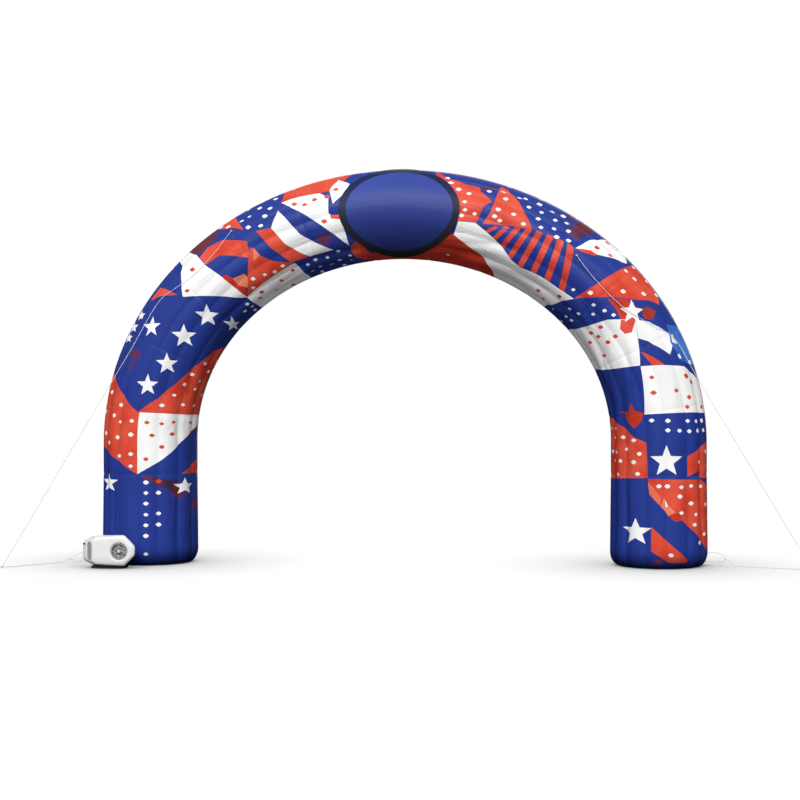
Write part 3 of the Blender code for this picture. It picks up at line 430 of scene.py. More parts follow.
# The other colour of the cloths that drift between two.
MOTTLING = {
    "red": (0.585, 0.044, 0.020, 1.0),
    "deep": (0.430, 0.026, 0.012, 1.0),
    "rust": (0.420, 0.040, 0.024, 1.0),
    "maroon": (0.040, 0.020, 0.060, 1.0),
    "light": (0.030, 0.120, 0.480, 1.0),
    "peach": (0.740, 0.160, 0.080, 1.0),
}
ROPE_WHITE = (0.760, 0.760, 0.750, 1.0)
CASE_WHITE = (0.745, 0.742, 0.742, 1.0)
WEBBING_BLUE = (0.018, 0.032, 0.180, 1.0)
TAPE_WHITE = (0.560, 0.560, 0.555, 1.0)
GRILLE_GREY = (0.340, 0.340, 0.345, 1.0)
TRAY_BLACK = (0.020, 0.020, 0.022, 1.0)

# Studio light: a soft key from above and in front, and a room that is bright over and before the arch.
KEY_TOWARDS = (0.02, 1.0, -0.82)
KEY_ANGLE = 34.0
KEY_STRENGTH = 3.15
BACK_TOWARDS = (-0.1, -1.0, -0.35)
BACK_ANGLE = 50.0
BACK_STRENGTH = 0.9
ROOM_BRIGHT_SIDE = (-0.15, -0.55, 0.82)
ROOM_LOW = 0.02
ROOM_HIGH = 0.62
ROOM_DIM_FROM = -0.35
ROOM_BRIGHT_FROM = 0.95
FLOOR_REACH = 300.0
FLOOR_DROP = 0.0005
FLOOR_GLOW = 1.0
SHADE_REACH = 1.25
SHADE_DEPTH = 1.0
FLOOR_BOUNCE = 0.72

MEAN_RADIUS = 0.46
GORE_ARC = 2.0 * math.pi * MEAN_RADIUS / GORES


# The tube's shape ------------------------------------------------------

# Points on the centreline, and the steps that directions and normals are taken over.
LEG_POINTS, BEND_POINTS = 200, 2000
DIRECTION_STEP = 0.002
NORMAL_STEP = 0.004
NORMAL_TURN = 0.5


def make_centreline():
    leg = np.linspace(0.0, STRAIGHT, LEG_POINTS)[:-1]
    turn = np.linspace(0.0, math.pi, BEND_POINTS)
    x = np.concatenate([np.full(leg.size, -HALF_SPAN), -HALF_SPAN * np.cos(turn), np.full(leg.size, HALF_SPAN)])
    z = np.concatenate([leg, STRAIGHT + RISE * np.sin(turn), leg[::-1]])
    length = np.concatenate([[0.0], np.cumsum(np.hypot(np.diff(x), np.diff(z)))])
    return x, z, length


LINE_X, LINE_Z, LINE_LENGTH = make_centreline()
TUBE_LENGTH = float(LINE_LENGTH[-1])
SEAM_PITCH = (TUBE_LENGTH - 2 * FIRST_SEAM) / (SEAM_COUNT - 1)


def centre_frame(along):
    """The centreline's points and unit directions at these lengths."""
    before = np.maximum(along - DIRECTION_STEP, 0.0)
    after = np.minimum(along + DIRECTION_STEP, TUBE_LENGTH)
    x, z = (np.interp(along, LINE_LENGTH, line) for line in (LINE_X, LINE_Z))
    dx, dz = (np.interp(after, LINE_LENGTH, v) - np.interp(before, LINE_LENGTH, v) for v in (LINE_X, LINE_Z))
    size = np.hypot(dx, dz)
    return x, z, dx / size, dz / size


def crest_radius(along):
    z = np.interp(along, LINE_LENGTH, LINE_Z)
    radius = LEG_RADIUS + (CROWN_RADIUS - LEG_RADIUS) * np.clip((z - STRAIGHT) / RISE, 0.0, 1.0)
    foot = np.maximum(np.minimum(along, TUBE_LENGTH - along), 0.0)
    radius = radius + FOOT_SPREAD * np.maximum(0.0, 1.0 - foot / FOOT_SPREAD_HEIGHT)
    rise = np.minimum(foot / BASE_RISE, 1.0)
    return radius - BASE_ROUND * (1.0 - np.sqrt(rise * (2.0 - rise)))


def dips(along, around):
    """How far the cloth lies under the crests: gores, cross seams and folds."""
    dip = GORE_DEPTH * (1.0 - np.abs(np.sin(np.radians(GORES / 2 * (around - GORE_PHASE)))))
    nearest = FIRST_SEAM + SEAM_PITCH * np.clip(np.round((along - FIRST_SEAM) / SEAM_PITCH), 0, SEAM_COUNT - 1)
    dip += SEAM_PINCH * np.exp(-(((along - nearest) / (0.5 * SEAM_REACH)) ** 2))
    for fold in FOLDS + CREASES:
        ahead = np.clip((along - fold.along) / fold.half_length, -1.0, 1.0)
        across = (around - fold.around - fold.lean * ahead) / fold.half_width
        dip += fold.depth * (1.0 - ahead * ahead) ** 2 * np.exp(-across * across)
    return dip


def on_tube(along, around, lift=0.0, plain=False):
    """Points on the tube as rows of an array. Plain leaves the dips out."""
    along, around = np.broadcast_arrays(np.asarray(along, float), np.asarray(around, float))
    around = (around + 180.0) % 360.0 - 180.0
    x, z, dx, dz = centre_frame(along)
    radius = crest_radius(along) + lift
    if not plain:
        radius = radius - dips(along, around)
    outward = radius * np.sin(np.radians(around))
    forward = radius * np.cos(np.radians(around))
    return np.stack([x - outward * dz, PLANE_Y - forward, z + outward * dx], axis=-1)


def tube_normals(along, around):
    """Unit normals out of the tube, from small steps along it and round it."""
    ahead = on_tube(np.minimum(along + NORMAL_STEP, TUBE_LENGTH), around)
    behind = on_tube(np.maximum(along - NORMAL_STEP, 0.0), around)
    turned = on_tube(along, around + NORMAL_TURN) - on_tube(along, around - NORMAL_TURN)
    normal = np.cross(ahead - behind, turned)
    return normal / np.linalg.norm(normal, axis=-1, keepdims=True)


def place_on_tube(place, lift=0.0):
    return Vector(on_tube(place[0], place[1], lift, plain=True))


# Materials -------------------------------------------------------------


def new_material(name, colour, roughness):
    made = bpy.data.materials.new(name)
    made.use_nodes = True
    shader = made.node_tree.nodes["Principled BSDF"]
    shader.inputs["Base Color"].default_value = colour
    shader.inputs["Roughness"].default_value = roughness
    made.diffuse_color = colour
    return made, made.node_tree, shader


def feed(tree, socket, value):
    """Gives an input its value: a number, a vector, a colour, or another node's output."""
    if isinstance(value, bpy.types.NodeSocket):
        tree.links.new(value, socket)
    else:
        socket.default_value = value


def add_node(tree, kind, values=None, **settings):
    made = tree.nodes.new(kind)
    for name, value in settings.items():
        setattr(made, name, value)
    for name, value in (values or {}).items():
        feed(tree, made.inputs[name], value)
    return made


def maths(tree, operation, *values, kind="ShaderNodeMath", result="Value"):
    """A math node's output, from numbers or other outputs."""
    made = add_node(tree, kind, operation=operation)
    for socket, value in zip(made.inputs, values):
        feed(tree, socket, value)
    return made.outputs[result]


def vector_maths(tree, operation, *values, result="Value"):
    return maths(tree, operation, *values, kind="ShaderNodeVectorMath", result=result)


def mixed(tree, factor, first, second):
    """A colour between two, by a factor's output."""
    values = {"Factor": factor, "A": first, "B": second}
    return add_node(tree, "ShaderNodeMix", values, data_type="RGBA").outputs["Result"]


def ranged(tree, value, start, end, low=0.0, high=1.0, easing="SMOOTHSTEP"):
    """A value that goes from low to high while another goes from start to end."""
    values = {"Value": value, "From Min": start, "From Max": end, "To Min": low, "To Max": high}
    return add_node(tree, "ShaderNodeMapRange", values, interpolation_type=easing).outputs["Result"]


def scaled(colour, share):
    return tuple(min(1.0, c * share) for c in colour[:3]) + (1.0,)


def noise(tree, vector, scale, detail=2.0):
    return add_node(tree, "ShaderNodeTexNoise", {"Scale": scale, "Detail": detail, "Vector": vector}).outputs["Fac"]


def bump(tree, height, relief, below=None):
    values = {"Distance": relief.depth, "Strength": relief.strength, "Height": height}
    if below is not None:
        values["Normal"] = below
    return add_node(tree, "ShaderNodeBump", values).outputs["Normal"]


def stretched(tree, vector, scale):
    return add_node(tree, "ShaderNodeMapping", {"Scale": scale, "Vector": vector}).outputs["Vector"]


def on_map(tree):
    """The place on the map of the cloth, in metres, and its two parts."""
    place = add_node(tree, "ShaderNodeUVMap", uv_map="cloth").outputs["UV"]
    parts = add_node(tree, "ShaderNodeSeparateXYZ", {"Vector": place}).outputs
    return place, parts["X"], parts["Y"]


def in_space(tree):
    return add_node(tree, "ShaderNodeTexCoord").outputs["Object"]


def wave(tree, distance, pitch):
    return maths(tree, "SINE", maths(tree, "MULTIPLY", distance, 2.0 * math.pi / pitch))


def near_multiple(tree, distance, pitch, offset, reach):
    """1 within reach of each whole multiple of the pitch from the offset, and 0 elsewhere."""
    shifted = maths(tree, "SUBTRACT", distance, offset - 50.5 * pitch)
    place = maths(tree, "FRACT", maths(tree, "DIVIDE", shifted, pitch))
    away = maths(tree, "ABSOLUTE", maths(tree, "SUBTRACT", place, 0.5))
    return maths(tree, "LESS_THAN", away, reach / pitch)


# Relief in the finishes: its depth in metres, and how strongly it shows.
Relief = namedtuple("Relief", "depth strength")
CREASE_RELIEF = Relief(0.016, 0.35)
LINE_RELIEF = Relief(0.0040, 0.45)
PUCKER_RELIEF = Relief(0.0012, 0.35)
WEAVE_RELIEF = Relief(0.0003, 0.12)
STITCH_RELIEF = Relief(0.0008, 0.50)
PLASTIC_RELIEF = Relief(0.0003, 0.25)
ROPE_RELIEF = Relief(0.0010, 0.60)
WEBBING_RELIEF = Relief(0.0006, 0.50)

# Scales of the noise in the finishes, for each metre; with two, along the cloth and round it.
TINT_SCALE = 2.6
DRIFT_SCALE = 4.0
CLOUD_SCALE = 22.0
CREASE_SCALE = (1.6, 9.0, 1.0)
LINE_SCALE = (1.1, 6.5, 1.0)
PUCKER_SCALE = (14.0, 22.0, 1.0)
PLASTIC_TINT_SCALE = 9.0
GLOSS_SCALE = 30.0
ROPE_SCALE = 60.0
WEBBING_SCALE = 120.0
# The noise's values between which a mottled cloth turns from one colour to the other.
DRIFT_FROM, DRIFT_TO = 0.36, 0.64

WEAVE_PITCH = 0.0011
RIB_PITCH = 0.0022
THREAD_PITCH = 0.0016
STITCH_PITCH = 0.0075
STITCH_HALF = 0.0024
GORE_SEAM_HALF = 0.0020
CROSS_SEAM_HALF = 0.0030
SEAM_DARKNESS = 0.12
LINE_WIDTH = 0.030
# Painted shade towards the tube's feet: how high it reaches, and how much it darkens the cloth at the foot.
FOOT_PAINTED_SHADE_HEIGHT = 0.22
FOOT_PAINTED_SHADE = 0.75
SMEAR_BREAKS = 1.5
SMEAR_MOST = 0.85
PLASTIC_GRAIN = 900.0
PARTING_HALF = 0.0016
PARTING_DARKNESS = 0.55
# Painted shade on the case's lower edge: the heights between which it fades out, and how strong it is at most.
CASE_PAINTED_SHADE_FROM, CASE_PAINTED_SHADE_TO, CASE_PAINTED_SHADE_MOST = 0.030, 0.150, 0.34


def smear_mask(tree, place):
    """How much rust shows at a place of the cloth: most at the middle of each smear, broken up by noise."""
    most = None
    for smear in SMEARS:
        centre = (smear.along, arc_of(smear.around - GORE_PHASE), 0.0)
        away = vector_maths(tree, "SUBTRACT", place, centre, result="Vector")
        shares = stretched(tree, away, (1.0 / smear.half_length, 1.0 / smear.half_arc, 1.0))
        near = maths(tree, "SUBTRACT", 1.0, vector_maths(tree, "LENGTH", shares))
        most = near if most is None else maths(tree, "MAXIMUM", most, near)
    clouds = maths(tree, "SUBTRACT", noise(tree, place, CLOUD_SCALE, 5.0), 0.5)
    broken = maths(tree, "ADD", most, maths(tree, "MULTIPLY", clouds, SMEAR_BREAKS))
    return ranged(tree, broken, 0.0, 0.95, 0.0, SMEAR_MOST)


def seam_lines(tree, along, round_tube):
    """The stitched strips along the gores and the cross seams."""
    gore = near_multiple(tree, round_tube, GORE_ARC, 0.0, GORE_SEAM_HALF)
    cross = near_multiple(tree, along, SEAM_PITCH, FIRST_SEAM, CROSS_SEAM_HALF)
    cross = maths(tree, "MULTIPLY", cross, maths(tree, "GREATER_THAN", along, FIRST_SEAM - 0.1))
    cross = maths(tree, "MULTIPLY", cross, maths(tree, "LESS_THAN", along, TUBE_LENGTH - FIRST_SEAM + 0.1))
    return maths(tree, "MAXIMUM", gore, cross)


def cloth_material(
    name, colour, roughness=0.42, specular=0.18, seams=True, lines=True, smears=False, mottled=None, painted_shade_colour=None
):
    """Satin polyester on the map of the cloth in metres: weave, soft creases along the tube and stitched seams. With
    the seams comes a painted shade towards the tube's feet.

    Lines are fine sharp creases. Smears are drawn where the table places them. A mottled cloth drifts between its
    colour and another one. A cloth given a painted shade colour turns to it from its upper to its lower edge.
    """
    made, tree, shader = new_material(name, colour, roughness)
    place, along, round_tube = on_map(tree)
    shown = mixed(tree, noise(tree, place, TINT_SCALE, 3.0), scaled(colour, 0.82), scaled(colour, 1.14))
    if mottled:
        drift = ranged(tree, noise(tree, place, DRIFT_SCALE, 4.0), DRIFT_FROM, DRIFT_TO, easing="LINEAR")
        shown = mixed(tree, drift, mottled, colour)
    # Painted shade: the cloth turns to a darker colour from its upper to its lower edge.
    if painted_shade_colour:
        shown = mixed(tree, ranged(tree, round_tube, PAINTED_SHADE_TOP, PAINTED_SHADE_FOOT), shown, painted_shade_colour)
    if seams:
        # Painted shade: the cloth darkens towards each foot, where the feet stand in shade.
        foot = maths(tree, "MINIMUM", along, maths(tree, "SUBTRACT", TUBE_LENGTH, along))
        shade = ranged(tree, foot, 0.0, FOOT_PAINTED_SHADE_HEIGHT, FOOT_PAINTED_SHADE, 0.0)
        shown = mixed(tree, shade, shown, scaled(colour, 0.15))
    if smears:
        shown = mixed(tree, smear_mask(tree, place), shown, RUST)
    normal = bump(tree, noise(tree, stretched(tree, place, CREASE_SCALE), 1.0, 3.0), CREASE_RELIEF)
    if lines:
        wander = noise(tree, stretched(tree, place, LINE_SCALE), 1.0, 1.0)
        line = maths(tree, "DIVIDE", maths(tree, "ABSOLUTE", maths(tree, "SUBTRACT", wander, 0.5)), LINE_WIDTH)
        normal = bump(tree, maths(tree, "MINIMUM", line, 1.0), LINE_RELIEF, normal)
    puckers = noise(tree, stretched(tree, place, PUCKER_SCALE), 1.0, 2.0)
    normal = bump(tree, puckers, PUCKER_RELIEF, normal)
    weave = maths(tree, "MULTIPLY", wave(tree, along, WEAVE_PITCH), wave(tree, round_tube, WEAVE_PITCH))
    normal = bump(tree, weave, WEAVE_RELIEF, normal)
    if seams:
        seam = seam_lines(tree, along, round_tube)
        shown = mixed(tree, maths(tree, "MULTIPLY", seam, SEAM_DARKNESS), shown, scaled(colour, 0.35))
        dashes = [near_multiple(tree, way, STITCH_PITCH, 0.0, STITCH_HALF) for way in (along, round_tube)]
        stitches = maths(tree, "MULTIPLY", seam, maths(tree, "MAXIMUM", *dashes))
        normal = bump(tree, stitches, STITCH_RELIEF, normal)
    feed(tree, shader.inputs["Base Color"], shown)
    feed(tree, shader.inputs["Normal"], normal)
    shader.inputs["Specular IOR Level"].default_value = specular
    return made


def plastic_material(name, colour, roughness):
    """Moulded plastic: a fine grain, faint flow marks and slightly uneven gloss."""
    made, tree, shader = new_material(name, colour, roughness)
    place = in_space(tree)
    shown = mixed(tree, noise(tree, place, PLASTIC_TINT_SCALE), scaled(colour, 0.93), scaled(colour, 1.03))
    gloss = ranged(tree, noise(tree, place, GLOSS_SCALE), 0.0, 1.0, roughness - 0.06, roughness + 0.08, easing="LINEAR")
    feed(tree, shader.inputs["Base Color"], shown)
    feed(tree, shader.inputs["Roughness"], gloss)
    feed(tree, shader.inputs["Normal"], bump(tree, noise(tree, place, PLASTIC_GRAIN), PLASTIC_RELIEF))
    return made


def laid_over(made, mask_of, colour):
    """Lays a second colour over a material's own where a mask of the place in metres says so."""
    tree = made.node_tree
    base = tree.nodes["Principled BSDF"].inputs["Base Color"]
    parts = add_node(tree, "ShaderNodeSeparateXYZ", {"Vector": in_space(tree)}).outputs
    feed(tree, base, mixed(tree, mask_of(tree, parts["X"], parts["Z"]), base.links[0].from_socket, colour))
    return made


def lines_and_painted_shade(tree, x, z):
    """The case's fine parting lines, upright and level through the fan's middle, and a painted shade on its lower edge.
    """
    upright = maths(tree, "COMPARE", x, FAN_X, PARTING_HALF)
    right_half = maths(tree, "GREATER_THAN", x, FAN_X)
    level = maths(tree, "MULTIPLY", maths(tree, "COMPARE", z, FAN_Z, PARTING_HALF), right_half)
    parting = maths(tree, "MULTIPLY", maths(tree, "MAXIMUM", upright, level), PARTING_DARKNESS)
    # Painted shade: the case darkens towards its lower edge.
    return maths(tree, "MAXIMUM", parting, ranged(tree, z, CASE_PAINTED_SHADE_FROM, CASE_PAINTED_SHADE_TO, CASE_PAINTED_SHADE_MOST, 0.0))


def painted_hub_highlight(tree, x, z):
    """A painted highlight: the pale middle of the fan and its guard."""
    offs = [maths(tree, "SUBTRACT", way, middle) for way, middle in ((x, FAN_X), (z, FAN_Z))]
    squares = [maths(tree, "POWER", off, 2.0) for off in offs]
    return maths(tree, "LESS_THAN", maths(tree, "SQRT", maths(tree, "ADD", *squares)), HUB_HIGHLIGHT_REACH)


def rope_material(name, colour):
    """A braided polyester rope: fine slanted strands, a little uneven in tone."""
    made, tree, shader = new_material(name, colour, 0.7)
    place = in_space(tree)
    shown = mixed(tree, noise(tree, place, ROPE_SCALE), scaled(colour, 0.80), scaled(colour, 1.05))
    values = {"Scale": ROPE_SCALE, "Distortion": 3.0, "Vector": place}
    braid = add_node(tree, "ShaderNodeTexWave", values, bands_direction="DIAGONAL").outputs["Fac"]
    feed(tree, shader.inputs["Base Color"], shown)
    feed(tree, shader.inputs["Normal"], bump(tree, braid, ROPE_RELIEF))
    return made


def webbing_material(name, colour):
    """Woven webbing: ribs across and a coarse thread along."""
    made, tree, shader = new_material(name, colour, 0.62)
    place, along, across = on_map(tree)
    height = maths(tree, "MULTIPLY", wave(tree, along, RIB_PITCH), wave(tree, across, THREAD_PITCH))
    shown = mixed(tree, noise(tree, place, WEBBING_SCALE), scaled(colour, 0.8), scaled(colour, 1.4))
    feed(tree, shader.inputs["Base Color"], shown)
    feed(tree, shader.inputs["Normal"], bump(tree, height, WEBBING_RELIEF))
    return made


# Meshes ----------------------------------------------------------------


def add_object(name, data, *finishes):
    obj = bpy.data.objects.new(name, data)
    bpy.context.scene.collection.objects.link(obj)
    for finish in finishes:
        data.materials.append(finish)
    return obj


def mesh_from(name, points, faces, *finishes):
    data = bpy.data.meshes.new(name)
    data.from_pydata([tuple(p) for p in points], [], [tuple(int(i) for i in f) for f in faces])
    data.shade_smooth()
    return add_object(name, data, *finishes)


def face_outward(data):
    bm = bmesh.new()
    bm.from_mesh(data)
    bmesh.ops.recalc_face_normals(bm, faces=bm.faces)
    bm.to_mesh(data)
    bm.free()


def stand_in(piece, node, body="structure"):
    """Puts a piece in a CAD node's place and on its body."""
    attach(piece, body)
    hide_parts(node)


def set_map(data, places):
    """A map of the cloth in metres, from a place for each vertex."""
    layer = data.uv_layers.new(name="cloth")
    index = np.empty(len(data.loops), dtype=np.int32)
    data.loops.foreach_get("vertex_index", index)
    layer.data.foreach_set("uv", np.asarray(places, dtype=np.float32)[index].ravel())


# The print, flat: a length along the tube and an arc round it, both in metres


def full_turn(count):
    return [2.0 * math.pi * i / count for i in range(count)]


def arc_of(around):
    return MEAN_RADIUS * math.radians(around)


def flat(corners):
    return [(along, arc_of(around)) for along, around in corners]


def inside(points, outline):
    """Which of the points lie inside an outline."""
    x, y = points[:, 0], points[:, 1]
    found = np.zeros(len(points), dtype=bool)
    for (ax, ay), (bx, by) in zip(outline, outline[1:] + outline[:1]):
        crosses = (ay > y) != (by > y)
        if ay != by:
            found ^= crosses & (x < ax + (y - ay) * (bx - ax) / (by - ay))
    return found


def from_outline(point, outline):
    """A point's distance from an outline."""
    best = 1e9
    for a, b in zip(outline, outline[1:] + outline[:1]):
        a, b = Vector(a), Vector(b)
        side = b - a
        share = max(0.0, min(1.0, (point - a).dot(side) / side.length_squared))
        best = min(best, (point - a - side * share).length)
    return best


def dot_outline(centre, radius, sides=12):
    """A dot that is drawn out to four sides, and a little flat as seen from the front."""
    _, _, dx, dz = (float(v) for v in centre_frame(np.array(centre[0])))
    outline = []
    for turn in full_turn(sides):
        reach = radius * (0.96 + DOT_SQUARENESS * math.cos(4.0 * turn))
        right, up = reach * math.cos(turn), DOT_FLATNESS * reach * math.sin(turn)
        outline.append((centre[0] + dx * right + dz * up, centre[1] + dx * up - dz * right))
    return outline


def scattered_dots(outline, rng):
    """Dots in rather loose rows all over an outline."""
    lows = [min(p[k] for p in outline) for k in range(2)]
    highs = [max(p[k] for p in outline) for k in range(2)]
    row_step = DOT_ROWS * DOT_PITCH
    dots = []
    for i in range(int((highs[0] - lows[0]) / row_step) + 2):
        for j in range(int((highs[1] - lows[1]) / DOT_PITCH) + 3):
            shift = [rng.uniform(-DOT_SHIFT, DOT_SHIFT) * DOT_PITCH for _ in range(2)]
            centre = (lows[0] + row_step * i + shift[0], lows[1] + DOT_PITCH * (j - 0.5 * (i % 2)) + shift[1])
            clear = from_outline(Vector(centre), outline) > DOT_CLEARANCE * DOT_RADIUS
            if clear and inside(np.array([centre]), outline)[0]:
                dots.append(dot_outline(centre, DOT_RADIUS * rng.uniform(*SCATTERED_SIZES)))
    return dots


def star_outline(star):
    """A five-pointed star that stands upright and even as seen from the front."""
    _, _, dx, dz = (float(v) for v in centre_frame(np.array(star.along)))
    slant = max(math.cos(math.radians(star.around)), 0.6)
    outline = []
    for i in range(10):
        reach = star.radius * (1.0 if i % 2 == 0 else STAR_INNER)
        right = reach * math.sin(math.pi * i / 5)
        up = reach * math.cos(math.pi * i / 5)
        outline.append((star.along + dx * right + dz * up, arc_of(star.around) + (dx * up - dz * right) / slant))
    return outline


def fan_outlines(fan):
    """Stripes that lie evenly between the first, the middle and the last one."""
    keys = [[Vector(place) for place in flat(stripe)] for stripe in (fan.first, fan.middle, fan.last)]
    outlines = []
    for i in range(fan.count):
        share = i / (fan.count - 1)
        half = Vector((fan.width / 2 * (STRIPE_WIDTHS[0] + STRIPE_WIDTHS[1] * share), 0.0))
        weights = ((1 - share) * (1 - 2 * share), 4 * share * (1 - share), share * (2 * share - 1))
        top, bottom = (
            sum((key[end] * weight for key, weight in zip(keys, weights)), Vector((0.0, 0.0))) for end in (0, 1)
        )
        outlines.append([tuple(p) for p in (top - half, top + half, bottom + half, bottom - half)])
    return outlines


def printed_outlines():
    """Every outline of the print with its colour, the lowest first."""
    rng = random.Random(PRINT_SEED)
    printed = []
    for piece in PRINT:
        if isinstance(piece, Fan):
            printed += [(piece.colour, stripe) for stripe in fan_outlines(piece)]
            continue
        outline = flat(piece.corners)
        printed.append((piece.colour, outline))
        if piece.dots:
            printed += [(piece.dots, dot) for dot in scattered_dots(outline, rng)]
    for group in DOTS:
        radius = DOT_RADIUS * (RED_DOT_SHARE if group.colour == "red" else 1.0)
        for centre in flat(group.places):
            printed.append((group.colour, dot_outline(centre, radius * rng.uniform(*PLACED_SIZES))))
    printed += [("white", star_outline(star)) for star in STARS]
    return printed


# Steps of the cloth's mesh, and the strips at its ends and sides that no outline of the print enters.
ROW_STEP = 0.034
FINE_ROWS = (-1.0, -0.5, -0.2, 0.0, 0.2, 0.5, 1.0)
COLUMNS = 80
EDGE_STEP = 0.028
EDGE_STRIP = 0.0030
END_STRIP = 0.0040


def even_spots(low, high, step):
    return list(np.linspace(low, high, max(1, round((high - low) / step)) + 1))


def row_places():
    """Lengths of the mesh's rows, closer together at the feet and the cross seams."""
    foot = [BASE_RISE * (1.0 - math.cos(math.pi / 2 * i / 8)) for i in range(9)]
    places = foot + even_spots(BASE_RISE, FIRST_SEAM - SEAM_REACH, ROW_STEP)[1:-1]
    for i in range(SEAM_COUNT):
        seam = FIRST_SEAM + i * SEAM_PITCH
        places += [seam + SEAM_REACH * share for share in FINE_ROWS]
        if i < SEAM_COUNT - 1:
            places += even_spots(seam + SEAM_REACH, seam + SEAM_PITCH - SEAM_REACH, ROW_STEP)[1:-1]
    last = FIRST_SEAM + (SEAM_COUNT - 1) * SEAM_PITCH
    places += even_spots(last + SEAM_REACH, TUBE_LENGTH - BASE_RISE, ROW_STEP)[1:-1]
    return places + [TUBE_LENGTH - p for p in reversed(foot)]


SIDE_IN = GORE_PHASE - 4 * 360.0 / GORES
SIDE_OUT = GORE_PHASE + 3 * 360.0 / GORES


def flat_mesh():
    """The front half of the cloth, laid flat: points, triangles, and each triangle's colour."""
    rows = row_places()
    arcs = [arc_of(SIDE_IN + (SIDE_OUT - SIDE_IN) * j / COLUMNS) for j in range(COLUMNS + 1)]
    points = [Vector((along, arc)) for along in rows for arc in arcs]
    edges = []
    lows = (END_STRIP, arcs[0] + EDGE_STRIP)
    highs = (TUBE_LENGTH - END_STRIP, arcs[-1] - EDGE_STRIP)

    def clamped(spot):
        return tuple(min(max(spot[k], lows[k]), highs[k]) for k in range(2))

    printed = [(colour, [clamped(p) for p in outline]) for colour, outline in printed_outlines()]
    for _, outline in printed:
        first = len(points)
        for a, b in zip(outline, outline[1:] + outline[:1]):
            a, b = Vector(a), Vector(b)
            pieces = max(1, round((b - a).length / EDGE_STEP))
            points += [a.lerp(b, i / pieces) for i in range(pieces)]
        count = len(points) - first
        edges += [(first + i, first + (i + 1) % count) for i in range(count)]
    made, _, faces, _, _, _ = delaunay_2d_cdt(points, edges, [], 0, WELD)
    places = np.array([tuple(p) for p in made])
    faces = np.array([tuple(f) for f in faces])
    middles = places[faces].mean(axis=1)
    middles = np.stack([np.clip(middles[:, k], lows[k] + 1e-4, highs[k] - 1e-4) for k in range(2)], axis=1)
    names = list(COLOURS)
    colours = np.full(len(faces), names.index("navy"))
    for colour, outline in printed:
        span = np.array(outline)
        near = np.all((middles >= span.min(axis=0)) & (middles <= span.max(axis=0)), axis=1)
        spots = np.nonzero(near)[0]
        colours[spots[inside(middles[spots], outline)]] = names.index(colour)
    return places, faces, colours


def make_arch():
    """The printed tube. Its back carries the front's print turned half round, and both meet at gore seams."""
    places, faces, colours = flat_mesh()
    side = places[faces]
    turned = np.cross(side[:, 1] - side[:, 0], side[:, 2] - side[:, 0]) < 0
    faces[turned] = faces[turned][:, ::-1]
    along = places[:, 0]
    around = np.degrees(places[:, 1] / MEAN_RADIUS)
    back_along = TUBE_LENGTH - along
    back_around = SIDE_IN + SIDE_OUT + 180.0 - around
    all_along = np.concatenate([along, back_along])
    all_around = np.concatenate([around, back_around])
    points = on_tube(all_along, all_around)
    triangles = np.concatenate([faces, faces + len(places)])
    finishes = [
        cloth_material(f"printed_{name}", colour, smears=name == "navy", mottled=MOTTLING.get(name))
        for name, colour in COLOURS.items()
    ]
    arch = mesh_from("arch_cloth", points, triangles, *finishes)
    data = arch.data
    data.polygons.foreach_set("material_index", np.concatenate([colours, colours]).astype(np.int32))
    set_map(data, np.stack([all_along, np.radians(all_around - GORE_PHASE) * MEAN_RADIUS], axis=1))
    bm = bmesh.new()
    bm.from_mesh(data)
    bmesh.ops.remove_doubles(bm, verts=bm.verts, dist=WELD)
    bmesh.ops.holes_fill(bm, edges=[e for e in bm.edges if e.is_boundary])
    bmesh.ops.recalc_face_normals(bm, faces=bm.faces)
    bm.to_mesh(data)
    bm.free()
    spots = np.array([tuple(v.co) for v in data.vertices])
    data.normals_split_custom_set_from_vertices([tuple(n) for n in normals_at(spots)])
    stand_in(arch, "arch_tube")


PLACE_SAMPLES = 4001
BATCH = 4000


def normals_at(spots):
    """The cloth's smooth normals at points of the tube: their places are found again from the centreline."""
    samples = np.linspace(0.0, TUBE_LENGTH, PLACE_SAMPLES)
    line = np.stack(centre_frame(samples)[:2], axis=1)
    along = np.empty(len(spots))
    for start in range(0, len(spots), BATCH):
        part = spots[start : start + BATCH]
        gaps = np.hypot(part[:, :1] - line[:, 0], part[:, 2:] - line[:, 1])
        along[start : start + BATCH] = samples[gaps.argmin(axis=1)]
    cx, cz, tx, tz = centre_frame(along)
    outward = (spots[:, 0] - cx) * -tz + (spots[:, 2] - cz) * tx
    around = np.degrees(np.arctan2(outward, PLANE_Y - spots[:, 1]))
    normals = tube_normals(along, around)
    under = spots[:, 2] < 1e-4
    normals[under] = (0.0, 0.0, -1.0)
    return normals


# Oval panel and its border ---------------------------------------------


